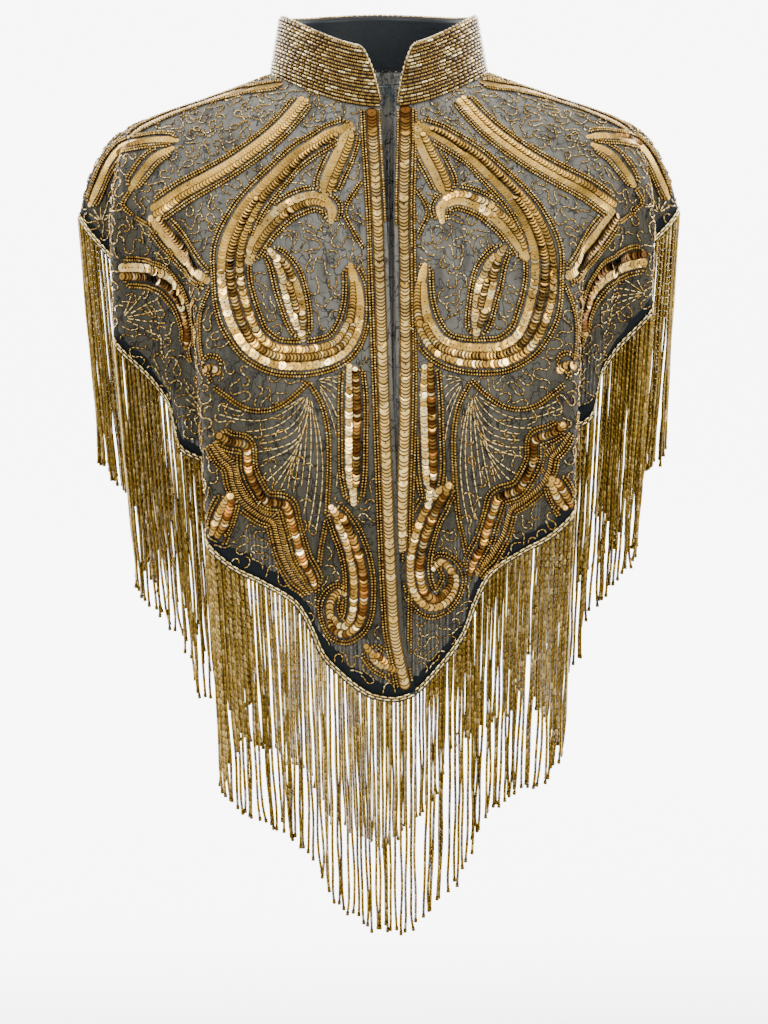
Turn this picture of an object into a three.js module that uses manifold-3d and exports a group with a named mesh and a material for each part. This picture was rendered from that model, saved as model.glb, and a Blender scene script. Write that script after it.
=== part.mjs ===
// A short evening cape of sheer net covered in beads and sequins, as it hangs on a general figure:
// two fronts and a back that join at the sides, a stand collar with its lining, a hook and eye at
// the throat, and a long beaded fringe from a narrow edging below the hem.
//
// Millimetres. +Z is up and the wearer faces -Y, so +X is the wearer's left. The origin is the
// centre of the neck, level with the foot of the collar at the sides.
// An angle round the body is 0 at the centre front, 90 at the wearer's left side and 180 behind.

import * as THREE from 'three';
import { mergeVertices } from 'three/addons/utils/BufferGeometryUtils.js';
import Module from 'manifold-3d';

const DEG = Math.PI / 180;

// Cloth
const WALL = 1.4;            // net with its beadwork
const SEAM = 0.3;            // space between two pieces
const ROWS = 10;             // steps from the neck to the hem

// Rings of the cloth from the neck down. Front, side and back are reaches from the neck's axis,
// squareness is the power of the ring's rounded outline, and folds is the share of the hem's
// flutes that the ring has.
const RINGS = [
  // at, front, side, back, squareness, zFront, zSide, zBack, droop, folds
  [0.00, 58, 67, 57, 2.0, -24, 0, 6, 1.6, 0],
  [0.25, 82, 107, 80, 2.2, -92, -15, -62, 1.6, 0],
  [0.50, 105, 159, 102, 2.5, -182, -34, -158, 1.35, 0.12],
  [0.75, 118, 174, 110, 2.7, -280, -58, -268, 1.2, 0.5],
].map(([at, front, side, back, squareness, zFront, zSide, zBack, droop, folds]) => (
  { at, front, side, back, squareness, zFront, zSide, zBack, droop, folds }));

// The hem from the centre front to the side, with a point for each crest and hollow of its
// flutes. The back has the same flutes and the same cut.
const HEM = [
  // angle, reach, z
  [0, 116, -379], [6, 116.6, -376], [11, 118, -368], [16, 121, -357], [20, 123.5, -345],
  [22.5, 125.5, -330], [24.5, 127, -320], [27, 130, -311], [35, 135, -300], [41.5, 144, -291],
  [46, 152, -278], [50, 144, -266], [54, 128, -255], [58, 118, -244], [62, 123, -233],
  [66.5, 139, -222], [69, 143, -197], [71, 150, -184], [75, 173, -156], [77.5, 171, -147],
  [81, 153, -129], [85, 172, -109], [87.5, 185, -95], [90, 191, -86],
].map(([angle, reach, z]) => ({ angle, reach, z }));
const HEM_RING = { front: 117, side: 176, back: 110, squareness: 2.8 };

// The cape sits a little askew: the hem drops on the wearer's right and rises on the left.
const ASKEW = [
  // angle, share
  [0, 0], [30, 1], [76, 1], [90, 0],
].map(([angle, share]) => ({ angle, share }));
const ASKEW_RISE = 8;

// Angles of the columns of points across half a front, closer where the flutes turn
const COLUMNS = [0, 3, 6, 8.5, 11, 16, 20, 22.5, 24.5, 27, 31, 35, 41.5, 46, 50, 54, 58, 62,
  64.5, 66.5, 69, 71, 73, 75, 77.5, 79.3, 81, 83, 85, 87.5, 90];

// Front edges: how far each stands from the centre line, positive to the wearer's left. The
// fronts part below the collar and overlap towards the hem, right over left.
const FRONT_EDGES = [
  // at, right, left
  [0, -1.7, 7.6], [0.25, 0.1, 4.8], [0.5, 1.4, 3.8], [0.75, 3.4, 0], [0.9, 6, -1.5], [1, 12.5, -2],
].map(([at, right, left]) => ({ at, right, left }));
const EDGE_BLEND = 16;       // degrees over which the columns return to their places
const OVERLAP = { lift: 2.5, starts: 0.5, full: 0.66, fadeFrom: 9, fadeTo: 16 };

// Stand collar
const COLLAR = {
  height: 34,
  lean: 0.18,                // inward for each millimetre of height
  wall: 2,
  rise: 1.4,                 // foot of the collar above the middle of the cloth's edge
  beadRows: 16,
  beadRelief: 0.45,
  rightEnd: -1.8,            // ends of the two wings, degrees from the centre front
  leftEnd: 8.8,
  sweepSteps: 20,
};
// Rounded front corners: height of a wing at a distance from its end
const WING = [
  // from, height
  [0, 3], [1, 7], [2.5, 13], [4, 18], [6, 23.5], [8, 27.5], [10.5, 31.5], [13.5, COLLAR.height],
].map(([from, height]) => ({ from, height }));
const LINING_WALL = 1;
const LINING_SETBACK = 1;    // the lining's edges stop short of the collar's

// Fringe: an edging of bugle beads below the hem, from which the strands hang
const EDGING = { drop: 4, topThickness: 1.5, footThickness: 2.8, roots: 3 };
const FRINGE = {
  strands: 210,
  radius: 1.15,
  length: 146,
  moreAtSides: 12,
  lean: 0.045,               // inward for each millimetre of drop, at the front and back
  leanSides: 0.065,
};
const LEFT_FRINGE_STARTS = 8.5;   // the edging of the left front stops at the overlap

// Hook and eye
const WIRE = 0.45;           // radius
const FASTENER_Z = -12;
const EYE = { left: 1, right: 13, half: 1.7 };
// The hook runs along the lining, behind the eye's bar, through the loop and back in front.
// Behind is how far it stands back from the eye's own surface.
const HOOK_ROUTE = [
  // x, behind
  [-9, 0], [-5, 0], [-2, 0.3], [0.2, 1.1], [2.2, 1.3], [3.3, 0.8], [3.6, -0.1], [3.1, -1],
  [1.8, -1.4], [0.2, -1.3],
].map(([x, behind]) => ({ x, behind }));
const WIRE_SIDES = 6;

// Colours
const NET = new THREE.MeshStandardMaterial({ color: 0x8a7040, roughness: 0.45, metalness: 0.4 });
const BUGLES = new THREE.MeshStandardMaterial({ color: 0xb08a40, roughness: 0.3, metalness: 0.8 });
const STRANDS = new THREE.MeshStandardMaterial({ color: 0xa08444, roughness: 0.35, metalness: 0.7 });
const LINING = new THREE.MeshStandardMaterial({ color: 0x111214, roughness: 0.8, metalness: 0 });
const BLACK_WIRE = new THREE.MeshStandardMaterial({ color: 0x18181a, roughness: 0.4, metalness: 0.6 });

// Curves through table rows

// Smooth and free of overshoot: a flute's crest in the table is its crest on the cloth
function monotone(rows, across, value, x) {
  const xs = rows.map((row) => row[across]);
  const ys = rows.map((row) => row[value]);
  const steps = xs.slice(1).map((next, i) => next - xs[i]);
  const slopes = steps.map((step, i) => (ys[i + 1] - ys[i]) / step);
  const tangents = xs.map((_, i) => {
    const before = slopes[i - 1];
    const after = slopes[i];
    if (before === undefined || after === undefined || before * after <= 0) return 0;
    const heavy = 2 * steps[i] + steps[i - 1];
    const light = steps[i] + 2 * steps[i - 1];
    return (heavy + light) / (heavy / before + light / after);
  });
  return hermite(xs, ys, tangents, x);
}

function hermite(xs, ys, tangents, x) {
  let i = 0;
  while (i < xs.length - 2 && x > xs[i + 1]) i += 1;
  const step = xs[i + 1] - xs[i];
  const t = Math.min(Math.max((x - xs[i]) / step, 0), 1);
  return (1 + 2 * t) * (1 - t) ** 2 * ys[i] + t * (1 - t) ** 2 * step * tangents[i]
    + t * t * (3 - 2 * t) * ys[i + 1] + t * t * (t - 1) * step * tangents[i + 1];
}

function flowing(xs, ys, x) {
  const last = xs.length - 1;
  const tangents = xs.map((_, i) => {
    const a = Math.max(i - 1, 0);
    const b = Math.min(i + 1, last);
    return (ys[b] - ys[a]) / (xs[b] - xs[a]);
  });
  return hermite(xs, ys, tangents, x);
}

const smooth = (from, to, x) => THREE.MathUtils.smoothstep(x, from, to);

// The cloth's middle surface

// Reach of a rounded outline at an angle
function ringReach(ring, angle) {
  const toFront = Math.cos(angle * DEG);
  const toSide = Math.abs(Math.sin(angle * DEG));
  const depth = toFront >= 0 ? ring.front : ring.back;
  const power = ring.squareness;
  return ((Math.abs(toFront) / depth) ** power + (toSide / ring.side) ** power) ** (-1 / power);
}

// Height of a ring, which hangs from the shoulders and droops towards the front and back
const SHOULDER_ROUND = 0.12;
function ringHeight(ring, angle) {
  const toFront = Math.cos(angle * DEG);
  const far = toFront >= 0 ? ring.zFront : ring.zBack;
  const round = Math.hypot(toFront, SHOULDER_ROUND) - SHOULDER_ROUND;
  const share = round / (Math.hypot(1, SHOULDER_ROUND) - SHOULDER_ROUND);
  return ring.zSide + (far - ring.zSide) * share ** ring.droop;
}

function clothPoint(angle, at, lifted) {
  const turned = ((angle + 180) % 360 + 360) % 360 - 180;
  const around = Math.abs(turned);
  const fromCentre = Math.min(around, 180 - around);
  const flute = monotone(HEM, 'angle', 'reach', fromCentre)
    - ringReach({ ...HEM_RING, back: HEM_RING.front }, fromCentre);
  const askew = ASKEW_RISE * Math.sign(turned) * monotone(ASKEW, 'angle', 'share', fromCentre);
  const ats = [...RINGS.map((ring) => ring.at), 1];
  const reaches = [...RINGS.map((ring) => ringReach(ring, around) + ring.folds * flute),
    ringReach(HEM_RING, around) + flute];
  const heights = [...RINGS.map((ring) => ringHeight(ring, around)),
    monotone(HEM, 'angle', 'z', fromCentre) + askew];
  const reach = flowing(ats, reaches, at) + (lifted ? overlapLift(turned, at) : 0);
  return new THREE.Vector3(reach * Math.sin(turned * DEG), -reach * Math.cos(turned * DEG),
    flowing(ats, heights, at));
}

// The right front rides over the left one where they overlap
function overlapLift(angle, at) {
  const down = smooth(OVERLAP.starts, OVERLAP.full, at);
  const across = smooth(-OVERLAP.fadeTo, -OVERLAP.fadeFrom, angle);
  return OVERLAP.lift * down * across;
}

const NUDGE = 0.05;          // degrees between the points that give a slope
const isSideSeam = (angle) => Math.abs(Math.abs(angle % 180) - 90) < NUDGE;
function clothNormal(angle, at, lifted) {
  const step = NUDGE / 90;
  const up = Math.max(at - step, 0);
  const down = Math.min(at + step, 1);
  const along = clothPoint(angle + NUDGE, at, lifted).sub(clothPoint(angle - NUDGE, at, lifted));
  const fall = clothPoint(angle, down, lifted).sub(clothPoint(angle, up, lifted));
  const normal = fall.cross(along);
  if (isSideSeam(angle)) normal.y = 0;
  return normal.normalize();
}

// Panels: each is a list of columns, and a column gives the cloth's angle at each row

function frontAngle(side, column, at) {
  const blend = Math.max(0, 1 - column / EDGE_BLEND);
  const ringFront = -clothPoint(0, at, false).y;
  const edge = Math.asin(monotone(FRONT_EDGES, 'at', side, at) / ringFront) / DEG;
  return (side === 'left' ? column : -column) + edge * blend;
}

const PANELS = {
  front_right: {
    columns: [...COLUMNS].reverse(),
    angle: (column, at) => frontAngle('right', column, at),
    lifted: true,
    shift: -SEAM / 2,
  },
  front_left: {
    columns: COLUMNS,
    angle: (column, at) => frontAngle('left', column, at),
    lifted: false,
    shift: -SEAM / 2,
  },
  back: {
    columns: [...COLUMNS.map((column) => 180 - column).reverse(),
      ...COLUMNS.slice(1).map((column) => 180 + column)],
    angle: (column) => column,
    lifted: false,
    shift: SEAM / 2,
  },
};

// A point at a height on a panel, moved out along the cloth's normal
function panelPoint(panel, column, at, out) {
  const angle = panel.angle(column, at);
  const point = clothPoint(angle, at, panel.lifted);
  point.addScaledVector(clothNormal(angle, at, panel.lifted), out);
  point.y += panel.shift;
  return point;
}

// Closed walls

// A wall between an outer and an inner sheet of points. Each sheet is a list of columns that run
// down, set side by side anticlockwise seen from above. The inner sheet may have fewer rows.
function wall(outer, inner) {
  const positions = [];
  const index = [];
  const number = (sheet) => sheet.map((column) => column.map((point) => {
    positions.push(point.x, point.y, point.z);
    return positions.length / 3 - 1;
  }));
  const out = number(outer);
  const inn = number(inner);
  const skin = (sheet, flipped) => {
    for (let i = 0; i < sheet.length - 1; i += 1) ladder(sheet[i], sheet[i + 1], index, flipped);
  };
  const last = out.length - 1;
  skin(out, false);
  skin(inn, true);
  ladder(inn[0], out[0], index, false);
  ladder(out[last], inn[last], index, false);
  ladder(inn.map((column) => column[0]), out.map((column) => column[0]), index, true);
  ladder(inn.map((column) => column.at(-1)), out.map((column) => column.at(-1)), index, false);
  const geometry = new THREE.BufferGeometry();
  geometry.setAttribute('position', new THREE.Float32BufferAttribute(positions, 3));
  geometry.setIndex(index);
  return geometry;
}

// Triangles between two lines of points, which may have different counts
function ladder(near, far, index, flipped) {
  const add = (a, b, c) => (flipped ? index.push(a, c, b) : index.push(a, b, c));
  let i = 0;
  let j = 0;
  while (i < near.length - 1 || j < far.length - 1) {
    const nextNear = (i + 1) / (near.length - 1);
    const nextFar = (j + 1) / (far.length - 1);
    if (j === far.length - 1 || (i < near.length - 1 && nextNear <= nextFar)) {
      add(near[i], near[i + 1], far[j]);
      i += 1;
    } else {
      add(near[i], far[j + 1], far[j]);
      j += 1;
    }
  }
}

function panelWall(panel) {
  const rows = Array.from({ length: ROWS + 1 }, (_, row) => row / ROWS);
  const sheet = (out) => panel.columns.map((column) => rows.map(
    (at) => panelPoint(panel, column, at, out)));
  return wall(sheet(WALL / 2), sheet(-WALL / 2));
}

// Collar and lining

const NECK = RINGS[0];

function wingHeight(angle, setback) {
  const fromRight = (360 + COLLAR.rightEnd - angle) * DEG * NECK.front - setback;
  const fromLeft = (angle - COLLAR.leftEnd) * DEG * NECK.front - setback;
  const from = Math.min(fromRight, fromLeft, WING.at(-1).from);
  return monotone(WING, 'from', 'height', Math.max(from, 0));
}

function collarPoint(angle, height, out) {
  const reach = ringReach(NECK, angle) - COLLAR.lean * height + out;
  return new THREE.Vector3(reach * Math.sin(angle * DEG), -reach * Math.cos(angle * DEG),
    ringHeight(NECK, angle) + COLLAR.rise + height);
}

// Angles of the collar's columns, closer at the rounded corners of its wings
function collarAngles(setback) {
  const wing = WING.map((row) => row.from / NECK.front / DEG);
  const inset = setback / NECK.front / DEG;
  const start = COLLAR.leftEnd + inset;
  const end = 360 + COLLAR.rightEnd - inset;
  const span = end - start - 2 * wing.at(-1);
  const sweep = Array.from({ length: COLLAR.sweepSteps - 1 }, (_, i) => (
    start + wing.at(-1) + span * (i + 1) / COLLAR.sweepSteps));
  return [...wing.map((turn) => start + turn), ...sweep,
    ...wing.map((turn) => end - turn).reverse()];
}

function collarSheet(angles, rows, setback, relief) {
  return angles.map((angle) => Array.from({ length: rows + 1 }, (_, row) => {
    const height = (wingHeight(angle, setback) - setback) * (1 - row / rows);
    return collarPoint(angle, height, relief(row));
  }));
}

function collar() {
  const angles = collarAngles(0);
  const half = COLLAR.wall / 2;
  const outer = collarSheet(angles, 2 * COLLAR.beadRows, 0,
    (row) => half + (row % 2) * COLLAR.beadRelief);
  const inner = collarSheet(angles, 1, 0, () => -half);
  return wall(outer, inner);
}

function collarLining() {
  const angles = collarAngles(LINING_SETBACK);
  const outside = -COLLAR.wall / 2 - SEAM;
  return wall(collarSheet(angles, 1, LINING_SETBACK, () => outside),
    collarSheet(angles, 1, LINING_SETBACK, () => outside - LINING_WALL));
}

// Fringe

const wasm = await Module();
wasm.setup();

function solid(geometry) {
  const bare = geometry.clone();
  bare.deleteAttribute('normal');
  bare.deleteAttribute('uv');
  const merged = mergeVertices(bare, 1e-4);
  return new wasm.Manifold(new wasm.Mesh({
    numProp: 3,
    vertProperties: new Float32Array(merged.attributes.position.array),
    triVerts: new Uint32Array(merged.index.array),
  }));
}

function geometryOf(manifold) {
  const mesh = manifold.getMesh();
  const geometry = new THREE.BufferGeometry();
  geometry.setAttribute('position', new THREE.BufferAttribute(mesh.vertProperties, 3));
  geometry.setIndex(new THREE.BufferAttribute(mesh.triVerts, 1));
  return geometry;
}

// The hem's edge at each column, with the direction in the cloth that points away from it
function hemLine(panel, columns) {
  const edge = columns.map((column) => panelPoint(panel, column, 1, 0));
  return edge.map((point, i) => {
    const before = edge[Math.max(i - 1, 0)];
    const after = edge[Math.min(i + 1, edge.length - 1)];
    const angle = panel.angle(columns[i], 1);
    const normal = clothNormal(angle, 1, panel.lifted);
    const along = after.clone().sub(before);
    if (isSideSeam(angle)) along.set(0, Math.sign(angle % 360 === 270 ? -1 : angle), 0);
    return { point, normal, away: along.cross(normal).normalize() };
  });
}

function edging(line) {
  const section = [[SEAM, EDGING.topThickness / 2], [SEAM + EDGING.drop, EDGING.footThickness / 2]];
  const sheet = (side) => line.map(({ point, normal, away }) => section.map(
    ([drop, half]) => point.clone().addScaledVector(away, drop).addScaledVector(normal, side * half)));
  return wall(sheet(1), sheet(-1));
}

// Points inside the edging, evenly spaced seen from above
function strandRoots(line, spacing) {
  const middle = line.map(({ point, away }) => (
    point.clone().addScaledVector(away, SEAM + EDGING.roots)));
  const plan = [0];
  for (let i = 1; i < middle.length; i += 1) {
    plan.push(plan[i - 1] + Math.hypot(middle[i].x - middle[i - 1].x, middle[i].y - middle[i - 1].y));
  }
  const count = Math.max(1, Math.round(plan.at(-1) / spacing));
  return Array.from({ length: count }, (_, n) => {
    const along = plan.at(-1) * (n + 0.5) / count;
    const i = plan.findIndex((far, k) => k > 0 && far >= along);
    return middle[i - 1].clone().lerp(middle[i], (along - plan[i - 1]) / (plan[i] - plan[i - 1]));
  });
}

function strand(root) {
  const flat = Math.hypot(root.x, root.y);
  const sideways = Math.abs(root.x) / flat;
  const lean = THREE.MathUtils.lerp(FRINGE.lean, FRINGE.leanSides, sideways);
  const length = FRINGE.length + FRINGE.moreAtSides * sideways;
  const tip = new THREE.Vector3(root.x * (1 - lean * length / flat), root.y * (1 - lean * length / flat),
    root.z - length);
  const fall = tip.clone().sub(root);
  const geometry = new THREE.CylinderGeometry(FRINGE.radius, FRINGE.radius, fall.length(), 3);
  geometry.rotateY(Math.atan2(root.x, -root.y));
  geometry.applyQuaternion(new THREE.Quaternion().setFromUnitVectors(
    new THREE.Vector3(0, -1, 0), fall.normalize()));
  const centre = root.clone().add(tip).multiplyScalar(0.5);
  geometry.translate(centre.x, centre.y, centre.z);
  return geometry;
}

function fringe(line, spacing) {
  const strands = strandRoots(line, spacing).map((root) => solid(strand(root)));
  return geometryOf(wasm.Manifold.union([solid(edging(line)), ...strands]));
}

const hemLines = {
  fringe_front_right: hemLine(PANELS.front_right, PANELS.front_right.columns),
  fringe_front_left: hemLine(PANELS.front_left,
    COLUMNS.filter((column) => column >= LEFT_FRINGE_STARTS)),
  fringe_back: hemLine(PANELS.back, PANELS.back.columns),
};
const planLength = (line) => line.slice(1).reduce((sum, { point }, i) => (
  sum + Math.hypot(point.x - line[i].point.x, point.y - line[i].point.y)), 0);
const strandSpacing = Object.values(hemLines).reduce((sum, line) => sum + planLength(line), 0)
  / FRINGE.strands;

// Hook and eye

function wireAlong(curve, steps) {
  const section = new THREE.Shape();
  for (let side = 0; side < WIRE_SIDES; side += 1) {
    const turn = 2 * Math.PI * side / WIRE_SIDES;
    section[side ? 'lineTo' : 'moveTo'](WIRE * Math.cos(turn), WIRE * Math.sin(turn));
  }
  section.closePath();
  const geometry = new THREE.ExtrudeGeometry(section, { steps, extrudePath: curve });
  geometry.deleteAttribute('normal');
  geometry.deleteAttribute('uv');
  return mergeVertices(geometry, 1e-3);
}

// Where a wire lies that rests against the inside of the lining, a seam's width off it
function insideLining(x) {
  const height = FASTENER_Z - ringHeight(NECK, 0) - COLLAR.rise;
  const inward = COLLAR.wall / 2 + SEAM + LINING_WALL + COLLAR.lean * height + SEAM + WIRE;
  const angle = Math.asin(x / NECK.front) / DEG;
  return -(ringReach(NECK, angle) - inward) * Math.cos(angle * DEG);
}

function hook() {
  const route = HOOK_ROUTE.map(({ x, behind }) => (
    new THREE.Vector3(x, insideLining(x) + behind, FASTENER_Z)));
  return wireAlong(new THREE.CatmullRomCurve3(route), 26);
}

// A long loop, left open by a seam where its two ends are sewn to the collar
function eye() {
  const { left, right, half } = EYE;
  const turnLeft = left + half;
  const turnRight = right - half;
  const bend = half * Math.SQRT1_2;
  const route = [
    [right, -0.35], [turnRight + bend, -bend], [turnRight, -half], [(turnLeft + turnRight) / 2, -half],
    [turnLeft, -half], [turnLeft - bend, -bend], [left, 0], [turnLeft - bend, bend],
    [turnLeft, half], [(turnLeft + turnRight) / 2, half], [turnRight, half],
    [turnRight + bend, bend], [right, 0.95],
  ].map(([x, z]) => new THREE.Vector3(x, insideLining(x), FASTENER_Z + z));
  return wireAlong(new THREE.CatmullRomCurve3(route), 40);
}

// The cape

const cape = new THREE.Group();
cape.name = 'cape';

function add(name, geometry, material) {
  const mesh = new THREE.Mesh(geometry, material);
  mesh.name = name;
  cape.add(mesh);
}

for (const [name, panel] of Object.entries(PANELS)) add(name, panelWall(panel), NET);
add('collar', collar(), BUGLES);
add('collar_lining', collarLining(), LINING);
for (const [name, line] of Object.entries(hemLines)) {
  add(name, fringe(line, strandSpacing), STRANDS);
}
add('hook', hook(), BLACK_WIRE);
add('eye', eye(), BLACK_WIRE);

export default cape;
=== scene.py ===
"""A short evening cape of dark sheer net: gold sequins, seed and bugle beads, and a long bead fringe."""

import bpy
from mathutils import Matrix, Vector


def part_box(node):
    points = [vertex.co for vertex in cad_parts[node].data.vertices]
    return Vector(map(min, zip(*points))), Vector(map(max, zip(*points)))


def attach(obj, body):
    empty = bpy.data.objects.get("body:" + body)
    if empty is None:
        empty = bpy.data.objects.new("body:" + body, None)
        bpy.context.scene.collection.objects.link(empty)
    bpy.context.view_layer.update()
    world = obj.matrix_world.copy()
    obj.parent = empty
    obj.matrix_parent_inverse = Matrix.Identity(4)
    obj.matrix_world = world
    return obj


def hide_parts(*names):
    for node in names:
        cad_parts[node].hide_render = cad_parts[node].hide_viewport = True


bl_info = {
    "name": "Beaded Cape",
    "version": (1, 0, 0),
    "blender": (4, 5, 0),
    "location": "View3D > Sidebar > Cape",
    "description": "Builds a beaded net cape round its packed frame",
    "category": "Add Mesh",
}

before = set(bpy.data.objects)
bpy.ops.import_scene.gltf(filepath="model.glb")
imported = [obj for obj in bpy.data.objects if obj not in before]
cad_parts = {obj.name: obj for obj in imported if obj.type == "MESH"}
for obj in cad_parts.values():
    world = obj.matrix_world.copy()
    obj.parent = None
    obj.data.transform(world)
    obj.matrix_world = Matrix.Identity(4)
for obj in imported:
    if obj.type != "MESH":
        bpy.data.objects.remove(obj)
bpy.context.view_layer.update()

import math
from collections import namedtuple

import bmesh
import bpy
import numpy as np
from bpy.props import FloatProperty, FloatVectorProperty, PointerProperty
from mathutils import Matrix, Vector

MM = 0.001
BODY = "root"

# The cloth's form, in millimetres. The wearer faces -Y, and angles run from the centre front
# towards the wearer's left.
RING_COLUMNS = ("at", "front", "side", "back", "squareness", "z_front", "z_side", "z_back", "droop", "folds")
RINGS = [dict(zip(RING_COLUMNS, row)) for row in (
    (0.00, 58, 67, 57, 2.0, -24, 0, 6, 1.6, 0),
    (0.25, 82, 107, 80, 2.2, -92, -15, -62, 1.6, 0),
    (0.50, 105, 159, 102, 2.5, -182, -34, -158, 1.35, 0.12),
    (0.75, 118, 174, 110, 2.7, -280, -58, -268, 1.2, 0.5),
)]
# The hem's crests and hollows from the centre front to the side: angle, reach, height
HEM = np.array([
    (0, 116, -379), (6, 116.6, -376), (11, 118, -368), (16, 121, -357), (20, 123.5, -345),
    (22.5, 125.5, -330), (24.5, 127, -320), (27, 130, -311), (35, 135, -300), (41.5, 144, -291),
    (46, 152, -278), (50, 144, -266), (54, 128, -255), (58, 118, -244), (62, 123, -233),
    (66.5, 139, -222), (69, 143, -197), (71, 150, -184), (75, 173, -156), (77.5, 171, -147),
    (81, 153, -129), (85, 172, -109), (87.5, 185, -95), (90, 191, -86),
])
HEM_RING = dict(front=117, side=176, back=110, squareness=2.8)
ASKEW = np.array([(0, 0), (30, 1), (76, 1), (90, 0)])
ASKEW_RISE = 8
SHOULDER_ROUND = 0.12
# Front edges: distance from the centre line at a share of the way down, right front then left
FRONT_EDGES = np.array([
    (0, -1.7, 7.6), (0.25, 0.1, 4.8), (0.5, 1.4, 3.8), (0.75, 3.4, 0), (0.9, 6, -1.5), (1, 12.5, -2),
])
EDGE_BLEND = 16
OVERLAP = dict(lift=2.5, starts=0.5, full=0.66, fade_from=9, fade_to=16)
SEAM = 0.3

COLLAR = dict(lean=0.18, wall=2.0, rise=1.4, right_end=-1.8, left_end=8.8, rows=16)
WING = np.array([(0, 3), (1, 7), (2.5, 13), (4, 18), (6, 23.5), (8, 27.5), (10.5, 31.5), (13.5, 34)])
COLLAR_HEIGHT = 34

# The camera stands in front, a little above, turned a touch to the wearer's right
CAMERA = dict(turn=-2.5, height=4.0, distance=1500, round_z=-220, aim=(0.26, 0, -279.5), roll=0.6)
FOCAL_PIXELS = 2325.6
PICTURE = (768, 1024)
FLOOR_Z = -0.75                   # in metres, well below the fringe


# Sizes and colours that a user would change

def length(name, description, value):
    return FloatProperty(name=name, description=description, default=value, min=0.0001, subtype="DISTANCE",
                         unit="LENGTH")


def colour(name, description, value):
    return FloatVectorProperty(name=name, description=description, default=value, size=3, min=0, max=1,
                               subtype="COLOR")


class CapeNetSettings(bpy.types.PropertyGroup):
    thickness: length("Net thickness", "Thickness of the net", 0.0005)
    facing: length("Facing depth", "Depth of the black facing along the hem", 0.009)
    # Painted light: the net is given a grey lighter than its black thread, standing in for a bright ground seen
    # through it
    net: colour("Net", "Colour of the sheer net", (0.195, 0.190, 0.166))
    black: colour("Facing", "Colour of the facing and the lining", (0.0025, 0.0045, 0.006))
    opacity: FloatProperty(name="Opacity", description="How much of the net is thread", default=0.9, min=0,
                           max=1, subtype="FACTOR")


class CapeBeadSettings(bpy.types.PropertyGroup):
    seed: length("Seed bead", "Diameter of a seed bead", 0.0019)
    pitch: length("Seed pitch", "Spacing of seed beads in a row", 0.0017)
    bugle: length("Bugle length", "Length of a bugle bead", 0.0042)
    bugle_width: length("Bugle width", "Diameter of a bugle bead", 0.0018)
    gold: colour("Gold", "Colour of the gold beads", (0.40, 0.225, 0.030))
    shade: colour("Shade", "Colour of the darkest beads", (0.075, 0.032, 0.006))
    pale: colour("Pale", "Colour of the palest beads", (0.90, 0.74, 0.34))


class CapeSequinSettings(bpy.types.PropertyGroup):
    diameter: length("Sequin", "Diameter of a sequin", 0.0056)
    centre_diameter: length("Edge sequin", "Diameter of the sequins down the fronts", 0.0072)
    pitch: length("Pitch", "Spacing of the sequins in a row", 0.0021)
    gold: colour("Gold", "Colour of the gold sequins", (0.58, 0.345, 0.072))
    copper: colour("Copper", "Colour of the copper-brown sequins", (0.125, 0.046, 0.009))
    pale: colour("Pale", "Colour of the palest sequins", (0.95, 0.74, 0.34))


class CapeFringeSettings(bpy.types.PropertyGroup):
    spacing: length("Spacing", "Space between two strands, seen from above", 0.0027)
    drop: length("Length", "Length of a strand at the front", 0.146)
    more: length("More", "What a strand at the side has more", 0.012)
    gold: colour("Gold", "Colour of the fringe's beads", (0.155, 0.092, 0.0095))
    pale: colour("Pale", "Colour of the fringe's palest beads", (0.42, 0.29, 0.09))


class CapeStageSettings(bpy.types.PropertyGroup):
    ground: colour("Ground", "Colour of the floor and the backdrop", (0.93, 0.93, 0.935))


# Curves and the cloth's surface

def hermite(xs, ys, tangents, x):
    """Cubic through xs, with ys and tangents that may differ from point to point."""
    i = np.clip(np.searchsorted(xs, x, side="right") - 1, 0, len(xs) - 2)
    width = xs[i + 1] - xs[i]
    t = np.clip((x - xs[i]) / width, 0, 1)
    if ys.ndim == 1:
        y0, y1, m0, m1 = ys[i], ys[i + 1], tangents[i], tangents[i + 1]
    else:
        k = np.arange(len(x))
        y0, y1, m0, m1 = ys[i, k], ys[i + 1, k], tangents[i, k], tangents[i + 1, k]
    return ((1 + 2 * t) * (1 - t) ** 2 * y0 + t * (1 - t) ** 2 * width * m0
            + t * t * (3 - 2 * t) * y1 + t * t * (t - 1) * width * m1)


def monotone(xs, ys, x):
    xs = np.asarray(xs, float)
    ys = np.asarray(ys, float)
    steps = np.diff(xs)
    slopes = np.diff(ys) / steps
    tangents = np.zeros(len(xs))
    for i in range(1, len(xs) - 1):
        if slopes[i - 1] * slopes[i] > 0:
            heavy = 2 * steps[i] + steps[i - 1]
            light = steps[i] + 2 * steps[i - 1]
            tangents[i] = (heavy + light) / (heavy / slopes[i - 1] + light / slopes[i])
    return hermite(xs, ys, tangents, x)


def flowing(xs, ys, x):
    xs = np.asarray(xs, float)
    low = np.maximum(np.arange(len(xs)) - 1, 0)
    high = np.minimum(np.arange(len(xs)) + 1, len(xs) - 1)
    width = (xs[high] - xs[low]).reshape((-1,) + (1,) * (ys.ndim - 1))
    return hermite(xs, ys, (ys[high] - ys[low]) / width, x)


def dot(a, b):
    return np.sum(a * b, -1)


def unit(a):
    return a / np.maximum(np.linalg.norm(a, axis=-1, keepdims=True), 1e-9)


def smooth(low, high, x):
    t = np.clip((x - low) / (high - low), 0, 1)
    return t * t * (3 - 2 * t)


def running(points):
    """How far along a line each of its points lies."""
    return np.concatenate([[0], np.cumsum(np.linalg.norm(np.diff(points, axis=0), axis=1))])


def points_at(stops, run, points):
    """Points at distances along a line, between those that it has."""
    return np.stack([np.interp(stops, run, points[:, k]) for k in range(points.shape[1])], -1)


def ring_reach(ring, angle):
    to_front = np.cos(np.radians(angle))
    to_side = np.abs(np.sin(np.radians(angle)))
    depth = np.where(to_front >= 0, ring["front"], ring["back"])
    power = ring["squareness"]
    return ((np.abs(to_front) / depth) ** power + (to_side / ring["side"]) ** power) ** (-1 / power)


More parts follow.
